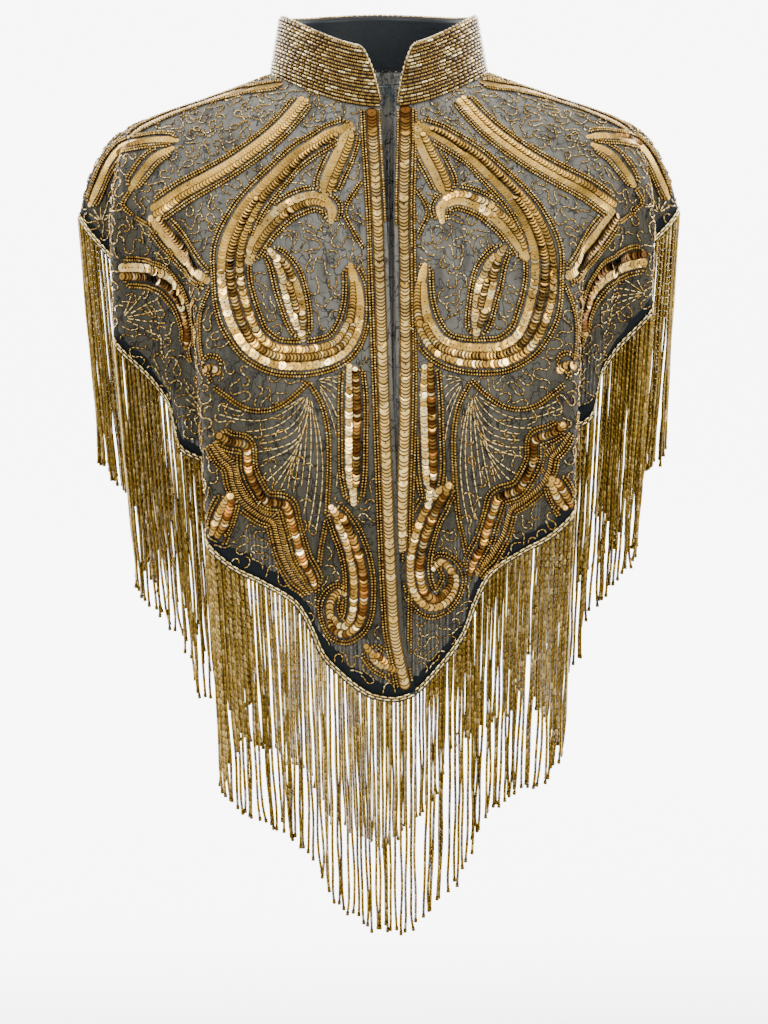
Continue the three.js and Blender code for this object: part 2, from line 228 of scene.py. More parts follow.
def ring_height(ring, angle):
    to_front = np.cos(np.radians(angle))
    far = np.where(to_front >= 0, ring["z_front"], ring["z_back"])
    full = math.hypot(1, SHOULDER_ROUND) - SHOULDER_ROUND
    share = (np.hypot(to_front, SHOULDER_ROUND) - SHOULDER_ROUND) / full
    return ring["z_side"] + (far - ring["z_side"]) * share ** ring["droop"]


# Soft troughs in the net: angle and share down at both ends, half width in degrees, depth
CREASES = [
    (-33, 0.08, -42, 0.34, 2.2, 0.9), (-52, 0.12, -60, 0.4, 2.4, 1.1), (-66, 0.2, -70, 0.52, 2.0, 1.2),
    (-74, 0.1, -78, 0.5, 1.8, 1.0), (-15, 0.1, -19, 0.3, 2.0, 0.7), (-12, 0.55, -14, 0.95, 1.6, 0.7),
    (-24, 0.62, -27, 0.9, 1.8, 0.9), (-37, 0.58, -38, 0.9, 2.0, 0.9), (-31, 0.3, -27, 0.5, 1.6, 0.7),
    (-58, 0.5, -57, 0.95, 2.6, 1.2), (-7, 0.25, -9, 0.5, 1.4, 0.6), (-46, 0.4, -50, 0.62, 2.0, 0.8),
]


def creases(angle, at):
    """Depth of the creases. The sides and the back have like ones, turned and shifted a little."""
    depth = np.zeros_like(angle)
    for turn, shift in ((1, 0.0), (-1, 0.03)):
        for from_angle, from_at, to_angle, to_at, half, deep in CREASES:
            for behind in (False, True):
                low, high = from_angle * turn, to_angle * turn
                if behind:
                    low, high = 180 - low, 180 - high
                share = (at - from_at - shift) / (to_at - from_at)
                t = np.clip(share, 0, 1)
                middle = low + (high - low) * t
                away = (angle - middle + 180) % 360 - 180
                fade = smooth(-0.25, 0.25, t - 0.02) * smooth(-0.25, 0.25, 0.98 - t)
                fade = fade * (1 - smooth(0.9, 1, at)) * smooth(0, 0.08, at)
                inside = 1 - np.clip(np.abs(share - 0.5) - 0.5, 0, 0.2) / 0.2
                depth -= deep * np.exp(-(away / half) ** 2) * fade * inside
    return depth


def cloth(angle, at, lifted=False, creased=True):
    """Points in the middle of the cloth at an angle and a share of the way from neck to hem."""
    angle, at = np.broadcast_arrays(np.asarray(angle, float), np.asarray(at, float))
    shape = angle.shape
    angle, at = (angle.ravel() + 180) % 360 - 180, at.ravel()
    around = np.abs(angle)
    from_centre = np.minimum(around, 180 - around)
    front_ring = dict(HEM_RING, back=HEM_RING["front"])
    flute = monotone(HEM[:, 0], HEM[:, 1], from_centre) - ring_reach(front_ring, from_centre)
    askew = ASKEW_RISE * np.sign(angle) * monotone(ASKEW[:, 0], ASKEW[:, 1], from_centre)
    ats = [ring["at"] for ring in RINGS] + [1]
    reaches = [ring_reach(ring, around) + ring["folds"] * flute for ring in RINGS]
    reaches = np.array(reaches + [ring_reach(HEM_RING, around) + flute])
    heights = [ring_height(ring, around) for ring in RINGS]
    heights = np.array(heights + [monotone(HEM[:, 0], HEM[:, 2], from_centre) + askew])
    reach = flowing(ats, reaches, at)
    if creased:
        reach = reach + creases(angle, at)
    if lifted:
        down = smooth(OVERLAP["starts"], OVERLAP["full"], at)
        reach = reach + OVERLAP["lift"] * down * smooth(-OVERLAP["fade_to"], -OVERLAP["fade_from"], angle)
    turn = np.radians(angle)
    points = np.stack([reach * np.sin(turn), -reach * np.cos(turn), flowing(ats, heights, at)], -1)
    return points.reshape(shape + (3,))


EDGE_STOPS = np.linspace(0, 1, 201)


def front_edges():
    """Angles of the two fronts' edges at the stops, the wearer's right one first."""
    ring_front = -cloth(np.zeros_like(EDGE_STOPS), EDGE_STOPS, creased=False)[..., 1]
    return [np.degrees(np.arcsin(monotone(FRONT_EDGES[:, 0], FRONT_EDGES[:, side], EDGE_STOPS) / ring_front))
            for side in (1, 2)]


EDGE_ANGLES = front_edges()


def edge_angle(side, at):
    """Angle of a front's edge: side 1 is the wearer's right front, 2 the left."""
    return np.interp(at, EDGE_STOPS, EDGE_ANGLES[side - 1])


class Panel:
    """A panel of the cape. Its surface is worked out once on a fine grid and read off from there."""

    TURN, FALL = 0.25, 0.0025     # the grid's steps, in degrees and as a share of the way down
    DEGREE = 2.0                  # about how many millimetres a degree is
    LAP_FROM = 0.55               # how far down the right front starts to lie over the left one

    def __init__(self, name, lifted, shift, low, high):
        self.name = name
        self.low = low
        angles = np.arange(low, high + self.TURN, self.TURN)
        shares = np.linspace(0, 1, round(1 / self.FALL) + 1)
        grid = cloth(angles[:, None], shares[None], lifted)
        grid[..., 1] += shift
        turn = np.gradient(grid, self.TURN, axis=0)
        fall = np.gradient(grid, self.FALL, axis=1)
        self.table = np.concatenate([grid, turn, fall, unit(np.cross(fall, turn))], -1)

    def look(self, angle, at):
        """Place, slope to the left, slope down and normal, from the grid's four nearest points."""
        across = np.clip((np.asarray(angle, float) - self.low) / self.TURN, 0, self.table.shape[0] - 1.001)
        down = np.clip(np.asarray(at, float) / self.FALL, 0, self.table.shape[1] - 1.001)
        i, j = across.astype(int), down.astype(int)
        u, v = (across - i)[..., None], (down - j)[..., None]
        table = self.table
        return ((table[i, j] * (1 - u) + table[i + 1, j] * u) * (1 - v)
                + (table[i, j + 1] * (1 - u) + table[i + 1, j + 1] * u) * v)

    def point(self, angle, at):
        return self.look(angle, at)[..., :3]

    def slopes(self, angle, at):
        """Change of place for each degree and for each unit of the way down."""
        found = self.look(angle, at)
        return found[..., 3:6], found[..., 6:9]

    def normal(self, angle, at):
        return unit(self.look(angle, at)[..., 9:])

    def step(self, angle, at, move):
        """The angle and share reached from a place on the cloth by a small move along it."""
        turn, fall = self.slopes(angle, at)
        a, b, c = dot(turn, turn), dot(turn, fall), dot(fall, fall)
        p, q = dot(turn, move), dot(fall, move)
        det = a * c - b * b
        return angle + (c * p - b * q) / det, at + (a * q - b * p) / det

    def holds(self, angle, at, margin):
        """Whether a place is on this panel, with a margin in millimetres from its free edges."""
        angle = (angle + 180) % 360 - 180
        near = margin / self.DEGREE
        if self.name == "front_right":
            inside = (angle > -90.0) & (angle < edge_angle(1, at) - near)
        elif self.name == "front_left":
            covered = np.where(at > self.LAP_FROM, edge_angle(1, at) + 0.8, -90)
            inside = (angle < 90.0) & (angle > np.maximum(edge_angle(2, at) + near, covered))
        else:
            inside = (angle >= 90.0) | (angle <= -90.0)
        return inside & (at > 0.006) & (at < 1 - margin / 300)


PANELS = {
    "front_right": Panel("front_right", True, -SEAM / 2, -91, 26),
    "front_left": Panel("front_left", False, -SEAM / 2, -8, 91),
    "back": Panel("back", False, SEAM / 2, 89, 271),
}


# Making meshes

def bead_template(make):
    """A small shape from bmesh, as arrays: its points, the faces' corners and where each face starts,
    which faces are curved (all but a bugle's ends), and how near to the rim each point is."""
    bm = bmesh.new()
    make(bm)
    bmesh.ops.recalc_face_normals(bm, faces=bm.faces)
    bm.normal_update()
    bm.verts.index_update()
    points = np.array([v.co for v in bm.verts])
    corners, starts, curved = [], [], []
    for face in bm.faces:
        starts.append(len(corners))
        corners.extend(v.index for v in face.verts)
        curved.append(abs(face.normal.x) < 0.9)
    bm.free()
    rim = np.linalg.norm(points[:, :2], axis=1)
    return dict(points=points, corners=np.array(corners), starts=np.array(starts), curved=np.array(curved),
                rim=rim / rim.max())


def seed_shape(bm):
    bmesh.ops.create_uvsphere(bm, u_segments=6, v_segments=2, radius=0.56)


def bugle_shape(bm, sides=6):
    bmesh.ops.create_cone(bm, cap_ends=True, segments=sides, radius1=0.5, radius2=0.5, depth=1,
                          matrix=Matrix.Rotation(math.pi / 2, 4, "Y"))


def strand_bead_shape(bm):
    bugle_shape(bm, sides=5)


def small_bugle_shape(bm):
    bugle_shape(bm, sides=4)


def sequin_shape(bm):
    """A thin disc, a little raised in its middle, a unit across."""
    bmesh.ops.create_circle(bm, cap_ends=True, segments=10, radius=0.5)
    rim = list(bm.edges)
    middle = bmesh.ops.poke(bm, faces=bm.faces[:])["verts"]
    bmesh.ops.translate(bm, vec=(0, 0, 0.014), verts=middle)
    bmesh.ops.contextual_create(bm, geom=rim)


def joined(name, template, places, along, across, size, tone, material, rounded=True, rim=1.0):
    """One mesh of many small shapes. along and across are unit directions, and size scales the
    template along them and outward. tone and rim are kept as attributes for the materials."""
    count = len(places)
    out = unit(np.cross(along, across))
    across = np.cross(out, along)
    points = template["points"]
    local = points[None] * np.broadcast_to(size, (count, 3))[:, None, :]
    world = (places[:, None] + local[..., :1] * along[:, None] + local[..., 1:2] * across[:, None]
             + local[..., 2:] * out[:, None]) * MM
    mesh = bpy.data.meshes.new(name)
    corners, starts, size_of = template["corners"], template["starts"], len(points)
    mesh.vertices.add(count * size_of)
    mesh.vertices.foreach_set("co", world.astype(np.float32).ravel())
    mesh.loops.add(count * len(corners))
    step = np.arange(count)[:, None]
    mesh.loops.foreach_set("vertex_index", (corners[None] + step * size_of).astype(np.int32).ravel())
    mesh.polygons.add(count * len(starts))
    mesh.polygons.foreach_set("loop_start", (starts[None] + step * len(corners)).astype(np.int32).ravel())
    mesh.polygons.foreach_set("use_smooth", np.tile(template["curved"] & rounded, count))
    mesh.update(calc_edges=True)
    store(mesh, "tone", np.repeat(tone, size_of))
    store(mesh, "rim", (np.broadcast_to(rim, count)[:, None] * template["rim"]).ravel())
    return piece(name, mesh, material)


def store(mesh, name, values):
    layer = mesh.attributes.new(name, "FLOAT", "POINT")
    layer.data.foreach_set("value", np.asarray(values, np.float32))


def piece(name, mesh, material):
    mesh.materials.append(material)
    thing = bpy.data.objects.new(name, mesh)
    bpy.context.scene.collection.objects.link(thing)
    return thing


def mesh_of(name, bm):
    mesh = bpy.data.meshes.new(name)
    bm.to_mesh(mesh)
    bm.free()
    return mesh


def sheet_mesh(name, columns, rows, place):
    """A sheet from a grid, which thicken turns into a shell. place gives points and distances from
    the hem for column and row shares from 0 to 1."""
    bm = bmesh.new()
    bmesh.ops.create_grid(bm, x_segments=columns, y_segments=rows, size=0.5, calc_uvs=False)
    bm.verts.ensure_lookup_table()
    flat = np.array([v.co for v in bm.verts])
    across, down = flat[:, 0] + 0.5, 0.5 - flat[:, 1]
    points, from_hem = place(across, down)
    uv = bm.loops.layers.uv.new("cloth")
    hem = bm.verts.layers.float.new("from_hem")
    for vert, co, edge in zip(bm.verts, points * MM, from_hem):
        vert.co = co
        vert[hem] = edge
    for face in bm.faces:
        face.smooth = True
        for loop in face.loops:
            loop[uv].uv = (across[loop.vert.index], down[loop.vert.index])
    bmesh.ops.recalc_face_normals(bm, faces=bm.faces)
    centre = points.mean(0) * MM
    probe = bm.faces[len(bm.faces) // 2]
    if (probe.calc_center_median() - Vector((0, 0, centre[2]))).dot(probe.normal) < 0:
        bmesh.ops.reverse_faces(bm, faces=bm.faces)
    return mesh_of(name, bm)


def thicken(thing, thickness):
    wall = thing.modifiers.new("Wall", "SOLIDIFY")
    wall.thickness = thickness
    wall.offset = 0
    wall.use_quality_normals = True
    return thing


# Materials

def node_group(name, inputs, outputs):
    group = bpy.data.node_groups.new(name, "ShaderNodeTree")
    for label, kind, default in inputs:
        socket = group.interface.new_socket(name=label, in_out="INPUT", socket_type=kind)
        socket.default_value = default
    for label, kind in outputs:
        group.interface.new_socket(name=label, in_out="OUTPUT", socket_type=kind)
    start = group.nodes.new("NodeGroupInput")
    end = group.nodes.new("NodeGroupOutput")
    return group, start, end


class Graph:
    """A little shorthand for making and joining nodes."""

    def __init__(self, tree):
        self.tree = tree

    def node(self, kind, **values):
        made = self.tree.nodes.new(kind)
        for key, value in values.items():
            setattr(made, key, value)
        return made

    def link(self, source, target):
        self.tree.links.new(source, target)

    def attribute(self, name):
        return self.node("ShaderNodeAttribute", attribute_name=name, attribute_type="GEOMETRY").outputs["Fac"]

    def put(self, value, socket):
        """Set a socket's number or colour, or link another node's output to it."""
        if isinstance(value, (int, float)):
            socket.default_value = value
        elif isinstance(value, tuple):
            socket.default_value = (*value, 1)
        else:
            self.link(value, socket)

    def maths(self, operation, *values, clamp=False):
        made = self.node("ShaderNodeMath", operation=operation, use_clamp=clamp)
        for socket, value in zip(made.inputs, values):
            self.put(value, socket)
        return made.outputs[0]

    def mix(self, factor, a, b, blend="MIX"):
        made = self.node("ShaderNodeMix", data_type="RGBA", blend_type=blend)
        for place, value in ((0, factor), (6, a), (7, b)):
            self.put(value, made.inputs[place])
        return made.outputs[2]

    def span(self, value, low, high, start=0.0, end=1.0, interpolation="LINEAR"):
        """Values from low to high, made to run from start to end."""
        made = self.node("ShaderNodeMapRange", interpolation_type=interpolation)
        for label, source in (("Value", value), ("From Min", low), ("From Max", high), ("To Min", start),
                              ("To Max", end)):
            self.put(source, made.inputs[label])
        return made.outputs["Result"]

    def bump(self, height, strength, distance, shader):
        made = self.node("ShaderNodeBump")
        made.inputs["Strength"].default_value = strength
        made.inputs["Distance"].default_value = distance
        self.link(height, made.inputs["Height"])
        self.link(made.outputs["Normal"], shader.inputs["Normal"])

    def noise(self, scale, detail=2.0, vector=None, stretch=None):
        made = self.node("ShaderNodeTexNoise")
        made.inputs["Scale"].default_value = scale
        made.inputs["Detail"].default_value = detail
        if vector is None:
            vector = self.node("ShaderNodeTexCoord").outputs["Object"]
        if stretch is not None:
            mapping = self.node("ShaderNodeMapping")
            mapping.inputs["Scale"].default_value = stretch
            self.link(vector, mapping.inputs["Vector"])
            vector = mapping.outputs["Vector"]
        self.link(vector, made.inputs["Vector"])
        return made.outputs["Fac"]

    def ramp(self, factor, stops):
        made = self.node("ShaderNodeValToRGB")
        ramp = made.color_ramp
        for stop, (place, tint) in enumerate(stops):
            element = ramp.elements[stop] if stop < 2 else ramp.elements.new(place)
            element.position = place
            element.color = (*tint, 1)
        self.link(factor, made.inputs["Fac"])
        return made.outputs["Color"]


# From where on the rim mask a sequin's edge is darkened as painted shade, the shadow at each overlap
RIM_FROM = 0.86


def gilt_group():
    """Colour and roughness of gilded beads: tone picks the tint, grime dulls it in patches, the rim is
    darkened as painted shade, and the dot in the middle, the stitch hole, is dark."""
    colour_socket = "NodeSocketColor"
    group, start, end = node_group(
        "Gilt",
        [("Dark", colour_socket, (0.1, 0.05, 0.01, 1)), ("Gold", colour_socket, (0.6, 0.4, 0.1, 1)),
         ("Pale", colour_socket, (0.9, 0.8, 0.5, 1)), ("Tone", "NodeSocketFloat", 0.5),
         ("Rim", "NodeSocketFloat", 0.0), ("Rim Shade", "NodeSocketFloat", 0.3),
         ("Rim From", "NodeSocketFloat", RIM_FROM), ("Dot", "NodeSocketFloat", 0.0),
         ("Smooth", "NodeSocketFloat", 0.2), ("Rough", "NodeSocketFloat", 0.4)],
        [("Color", colour_socket), ("Roughness", "NodeSocketFloat")])
    graph = Graph(group)
    low = graph.maths("MULTIPLY", start.outputs["Tone"], 2.0, clamp=True)
    high = graph.maths("MULTIPLY_ADD", start.outputs["Tone"], 2.0, -1.0, clamp=True)
    tint = graph.mix(low, start.outputs["Dark"], start.outputs["Gold"])
    tint = graph.mix(high, tint, start.outputs["Pale"])
    grime = graph.noise(60.0, 3.0)
    patches = graph.maths("MULTIPLY_ADD", grime, 0.5, 0.72, clamp=True)
    tint = graph.mix(1.0, tint, patches, "MULTIPLY")
    # Painted shade: past Rim From the rim is darkened, for the shadow where sequins overlap and beads meet; the dot
    # is the stitch hole
    rim = graph.maths("GREATER_THAN", start.outputs["Rim"], start.outputs["Rim From"])
    dot_mask = graph.maths("LESS_THAN", start.outputs["Rim"], start.outputs["Dot"])
    shade_and_holes = graph.maths("MAXIMUM", graph.maths("MULTIPLY", rim, 0.95), dot_mask)
    shade_and_holes = graph.maths("MULTIPLY", shade_and_holes, start.outputs["Rim Shade"])
    tint = graph.mix(shade_and_holes, tint, graph.mix(1.0, start.outputs["Dark"], (0.35, 0.35, 0.35), "MULTIPLY"))
    graph.link(tint, end.inputs["Color"])
    graph.link(graph.span(grime, 0.3, 0.7, start.outputs["Smooth"], start.outputs["Rough"]),
               end.inputs["Roughness"])
    return group


def bead_tints(beads, shade=1.0, gold=1.0):
    """Dark, gold and pale of the beads, the first two deepened where a material asks for it."""
    return tuple(c * shade for c in beads.shade), tuple(c * gold for c in beads.gold), tuple(beads.pale)


def gilt_material(name, tints, roughness, coat=0.0, rim_shade=0.0, rim_from=RIM_FROM, dot_size=0.0):
    """Gilded beads or sequins, in dark, gold and pale tints, with the lowest and highest roughness."""
    material, graph, shader = new_material(name)
    gilt = graph.node("ShaderNodeGroup")
    gilt.node_tree = bpy.data.node_groups.get("Gilt") or gilt_group()
    labels = ("Dark", "Gold", "Pale", "Rim Shade", "Rim From", "Dot", "Smooth", "Rough")
    for label, value in zip(labels, (*tints, rim_shade, rim_from, dot_size, *roughness)):
        graph.put(value, gilt.inputs[label])
    graph.link(graph.attribute("tone"), gilt.inputs["Tone"])
    graph.link(graph.attribute("rim"), gilt.inputs["Rim"])
    graph.link(gilt.outputs["Color"], shader.inputs["Base Color"])
    graph.link(gilt.outputs["Roughness"], shader.inputs["Roughness"])
    shader.inputs["Metallic"].default_value = 1.0
    shader.inputs["Coat Weight"].default_value = coat
    shader.inputs["Coat Roughness"].default_value = 0.12
    return material


def new_material(name):
    material = bpy.data.materials.new(name)
    material.use_nodes = True
    tree = material.node_tree
    return material, Graph(tree), tree.nodes["Principled BSDF"]


# Painted shade along thin folds in the net: scale, stretch and width of each pattern
NET_FOLD_SHADE = ((55.0, (2.2, 2.2, 0.8), 0.011), (90.0, (1.0, 1.6, 1.2), 0.009))
# Painted light and shade: the net is lighter near the neck, for a bright ground seen through it, and darkens towards
# the hem
NET_PAINTED_FALLOFF = [(0.12, (1, 1, 1)), (0.45, (0.72, 0.71, 0.69)), (0.74, (0.28, 0.265, 0.215))]
# The two waves that fray the facing's edge, as scale, detail and depth, and where that edge then falls
FRAY = ((95.0, 2.0, 0.012), (30.0, 1.0, 0.022))
FRAYED_EDGE = (0.0165, 0.0185)


def net_material(settings):
    """Sheer net over an open ground: fine threads, painted shade along thin folds, painted light that
    fades from neck to hem, and a black facing at the hem.
    """
    material, graph, shader = new_material("sheer_net")
    streaks = graph.noise(34.0, 4.0, stretch=(3.0, 3.0, 0.55))
    clouds = graph.noise(11.0, 3.0)
    shade = graph.ramp(streaks, [(0.34, (0.42, 0.42, 0.42)), (0.52, (1, 1, 1))])
    # Painted shade: thin darker lines along folds in the net
    for scale, stretch, width in NET_FOLD_SHADE:
        wander = graph.noise(scale, 2.0, stretch=stretch)
        fold = graph.maths("ABSOLUTE", graph.maths("SUBTRACT", wander, 0.5))
        shade = graph.mix(1.0, shade, graph.span(fold, width * 0.5, width * 1.6, 0.14, 1.0), "MULTIPLY")
    shade = graph.mix(graph.maths("MULTIPLY", clouds, 0.6), shade, (0.45, 0.45, 0.45))
    down = graph.node("ShaderNodeSeparateXYZ")
    graph.link(graph.node("ShaderNodeUVMap", uv_map="cloth").outputs["UV"], down.inputs["Vector"])
    # Painted light and shade: lighter near the neck, darker towards the hem
    shade = graph.mix(1.0, shade, graph.ramp(down.outputs["Y"], NET_PAINTED_FALLOFF), "MULTIPLY")
    # Painted light: the net's grey stands for a bright ground seen through it
    net = graph.mix(1.0, tuple(settings.net), shade, "MULTIPLY")
    ragged = graph.attribute("from_hem")
    for scale, detail, deep in FRAY:
        ragged = graph.maths("MULTIPLY_ADD", graph.noise(scale, detail), deep, ragged)
    facing = graph.span(ragged, *(settings.facing + edge for edge in FRAYED_EDGE), 1, 0, "SMOOTHSTEP")
    graph.link(graph.mix(facing, net, tuple(settings.black)), shader.inputs["Base Color"])
    threads = graph.noise(900.0, 0.0)
    open_net = graph.maths("MULTIPLY_ADD", threads, 0.16, settings.opacity - 0.08, clamp=True)
    graph.link(graph.maths("MAXIMUM", open_net, facing), shader.inputs["Alpha"])
    shader.inputs["Roughness"].default_value = 0.75
    shader.inputs["Sheen Weight"].default_value = 0.03
    shader.inputs["Sheen Roughness"].default_value = 0.4
    shader.inputs["Specular IOR Level"].default_value = 0.12
    graph.bump(streaks, 0.6, 0.0012, shader)
    return material


def satin_material(settings):
    material, graph, shader = new_material("black_satin")
    weave = graph.noise(420.0, 2.0, stretch=(1, 1, 4))
    tint = graph.mix(weave, tuple(settings.black), tuple(2.2 * c + 0.004 for c in settings.black))
    graph.link(tint, shader.inputs["Base Color"])
    graph.link(graph.maths("MULTIPLY_ADD", weave, 0.2, 0.35), shader.inputs["Roughness"])
    shader.inputs["Sheen Weight"].default_value = 0.05
    shader.inputs["Specular IOR Level"].default_value = 0.3
    graph.bump(weave, 0.3, 0.0003, shader)
    return material


def ground_cloth_material():
    """The dark brown cloth that shows between the collar's rows of beads."""
    material, graph, shader = new_material("collar_ground")
    weave = graph.noise(500.0, 2.0)
    graph.link(graph.mix(weave, (0.012, 0.006, 0.003), (0.032, 0.018, 0.007)), shader.inputs["Base Color"])
    graph.link(graph.maths("MULTIPLY_ADD", weave, 0.25, 0.55), shader.inputs["Roughness"])
    return material


def wire_material():
    material, graph, shader = new_material("black_wire")
    wear = graph.noise(300.0, 3.0)
    graph.link(graph.mix(wear, (0.008, 0.008, 0.009), (0.05, 0.05, 0.052)), shader.inputs["Base Color"])
    graph.link(graph.maths("MULTIPLY_ADD", wear, 0.3, 0.25), shader.inputs["Roughness"])
    shader.inputs["Metallic"].default_value = 0.5
    return material


def ground_material(settings):
    """Pale ground that glows: softly in front, more on the floor, and white behind the cape."""
    material, graph, shader = new_material("plain_ground")
    dim, bright = (tuple(c * share for c in settings.ground) for share in (0.25, 0.27))
    graph.link(graph.mix(graph.noise(0.8, 2.0), dim, bright), shader.inputs["Base Color"])
    shader.inputs["Emission Color"].default_value = (*settings.ground, 1)
    spot = graph.node("ShaderNodeSeparateXYZ")
    graph.link(graph.node("ShaderNodeTexCoord").outputs["Object"], spot.inputs["Vector"])
    front = graph.span(spot.outputs["Z"], FLOOR_Z, 0.1, 1.1, 0.5)
    glow = graph.span(spot.outputs["Y"], -0.1, 0.75, front, 7.5, "SMOOTHSTEP")
    graph.link(glow, shader.inputs["Emission Strength"])
    shader.inputs["Roughness"].default_value = 0.9
    return material


# Stage and camera

# Name, place, what it points at, size, power and colour of each lamp
CAPE_MIDDLE = (0, 0, -0.2)
LAMPS = (
    ("key", (-0.8, -2.0, 1.1), CAPE_MIDDLE, 0.6, 38, (1, 0.98, 0.94)),
    ("fill", (1.5, -1.8, 0.5), CAPE_MIDDLE, 0.7, 30, (1, 0.98, 0.94)),
    ("top", (0.2, 0.1, 1.9), CAPE_MIDDLE, 1.0, 12, (1, 1, 1)),
    ("wash", (0, 0.2, 2.4), (0, 1.4, 0.4), 3.0, 60, (1, 1, 1)),
)
SENSOR = 36


def camera_axes():
    """Place, right, up and back of the camera, in millimetres."""
    turn, height = math.radians(CAMERA["turn"]), math.radians(CAMERA["height"])
    out = np.array([math.sin(turn) * math.cos(height), -math.cos(turn) * math.cos(height), math.sin(height)])
    place = np.array([0, 0, CAMERA["round_z"]]) + out * CAMERA["distance"]
    back = unit(place - np.array(CAMERA["aim"], float))
    right = unit(np.cross([0, 0, 1.0], back))
    up = np.cross(back, right)
    roll = math.radians(CAMERA["roll"])
    right, up = right * math.cos(roll) - up * math.sin(roll), up * math.cos(roll) + right * math.sin(roll)
    return place, right, up, back


def picture_point(points):
    """Where points fall in the picture, in its pixels."""
    place, right, up, back = camera_axes()
    seen = points - place
    depth = -(seen @ back)
    across = PICTURE[0] / 2 + FOCAL_PIXELS * (seen @ right) / depth
    down = PICTURE[1] / 2 - FOCAL_PIXELS * (seen @ up) / depth
    return np.stack([across, down], -1)


class CAPE_OT_stage(bpy.types.Operator):
    """Make the floor and backdrop, the lights and the camera"""
    bl_idname = "cape.stage"
    bl_label = "Stage"

    def execute(self, context):
        settings = context.scene.cape_stage
        bm = bmesh.new()
        # A round floor whose edge bends up into a wall, so that every side of the cape has a plain ground
        reach, bend, high, turns = 3.6, 0.9, 3.4, 10
        line = [Vector((0, 0, FLOOR_Z)), Vector((reach - bend, 0, FLOOR_Z))]
        for turn in range(1, turns + 1):
            angle = math.pi / 2 * turn / turns
            line.append(Vector((reach - bend + bend * math.sin(angle), 0, FLOOR_Z + bend - bend * math.cos(angle))))
        line.append(Vector((reach, 0, high)))
        verts = [bm.verts.new(point) for point in line]
        edges = [bm.edges.new(pair) for pair in zip(verts, verts[1:])]
        bmesh.ops.spin(bm, geom=verts + edges, cent=(0, 0, 0), axis=(0, 0, 1), angle=2 * math.pi, steps=72)
        bmesh.ops.remove_doubles(bm, verts=bm.verts, dist=0.0001)
        bmesh.ops.recalc_face_normals(bm, faces=bm.faces)
        if min(bm.faces, key=lambda face: face.calc_center_median().xy.length).normal.z < 0:
            bmesh.ops.reverse_faces(bm, faces=bm.faces)
        for face in bm.faces:
            face.smooth = True
        mesh = mesh_of("ground", bm)
        piece("ground", mesh, ground_material(settings))

        world = bpy.data.worlds.new("studio")
        world.use_nodes = True
        background = world.node_tree.nodes["Background"]
        background.inputs["Color"].default_value = (1, 1, 1, 1)
        background.inputs["Strength"].default_value = 0.25
        context.scene.world = world
        for name, place, target, size, power, warmth in LAMPS:
            lamp = bpy.data.lights.new(name, "AREA")
            lamp.shape = "DISK"
            lamp.size = size
            lamp.energy = power
            lamp.color = warmth
            holder = bpy.data.objects.new(name, lamp)
            holder.location = place
            holder.rotation_euler = (Vector(target) - holder.location).to_track_quat("-Z", "Y").to_euler()
            context.scene.collection.objects.link(holder)

        place, right, up, back = camera_axes()
        lens = bpy.data.cameras.new("camera")
        lens.sensor_width = SENSOR
        lens.lens = SENSOR * FOCAL_PIXELS / PICTURE[1]
        lens.clip_start = 0.05
        lens.clip_end = 50
        camera = bpy.data.objects.new("camera", lens)
        turned = Matrix((right, up, back)).transposed().to_4x4()
        camera.matrix_world = Matrix.Translation(Vector(place * MM)) @ turned
        context.scene.collection.objects.link(camera)
        context.scene.camera = camera
        return {"FINISHED"}


# Net

NET_COLUMNS = {"front_right": 96, "front_left": 96, "back": 170}
NET_ROWS = 76


def net_angles(name, across, at):
    """Angle of a net's column. Near a front's edge the columns follow that edge."""
    if name == "back":
        return 90 + 180 * across
    away = 90 * across if name == "front_left" else 90 * (1 - across)
    edge = edge_angle(2 if name == "front_left" else 1, at)
    blend = np.maximum(0, 1 - away / EDGE_BLEND)
    return (away if name == "front_left" else -away) + edge * blend


class CAPE_OT_net(bpy.types.Operator):
    """Make the three panels of sheer net"""
    bl_idname = "cape.net"
    bl_label = "Net"

    def execute(self, context):
        settings = context.scene.cape_net
        material = net_material(settings)
        for name, panel in PANELS.items():
            def place(across, down, name=name, panel=panel):
                angle = net_angles(name, across, down)
                points = panel.point(angle, down)
                hem = panel.point(angle, np.ones_like(down))
                return points, np.linalg.norm(points - hem, axis=1) * MM
            mesh = sheet_mesh(f"{name}_net", NET_COLUMNS[name], NET_ROWS, place)
            net = thicken(piece(f"{name}_net", mesh, material), settings.thickness)
            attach(net, BODY)
            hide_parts(name)
            area = sum(face.area for face in mesh.polygons)
        return {"FINISHED"}


# Collar

COLLAR_COLUMNS, COLLAR_ROWS = 150, 16
WING_CROWDING = 0.48
FOOT = 1.2                        # how far the cloth goes below the collar's foot
SHORTEST = 40                     # of a bugle in a row, in degrees times millimetres: 0.7 mm
EDGE_BEAD = (3.1, 1.5, 1.5)
EDGE_PITCH = 3.4
EDGE_INSET = 0.3


def wing_height(angle, setback=0.0):
    arc = math.radians(1) * RINGS[0]["front"]
    from_right = (360 + COLLAR["right_end"] - angle) * arc - setback
    from_left = (angle - COLLAR["left_end"]) * arc - setback
    nearest = np.clip(np.minimum(from_right, from_left), 0, WING[-1, 0])
    return monotone(WING[:, 0], WING[:, 1], nearest)


def collar_point(angle, height, out):
    reach = ring_reach(RINGS[0], angle) - COLLAR["lean"] * height + out
    turn = np.radians(angle)
    rise = ring_height(RINGS[0], angle) + COLLAR["rise"] + height
    return np.stack([reach * np.sin(turn), -reach * np.cos(turn), rise], -1)


def collar_angle(across, setback=0.0):
    """Angle round the collar, with closer columns at its two wings."""
    inset = math.degrees(setback / RINGS[0]["front"])
    start, end = COLLAR["left_end"] + inset, 360 + COLLAR["right_end"] - inset
    eased = across - WING_CROWDING * np.sin(2 * np.pi * across) / (2 * np.pi)
    return start + (end - start) * np.clip(eased, 0, 1)


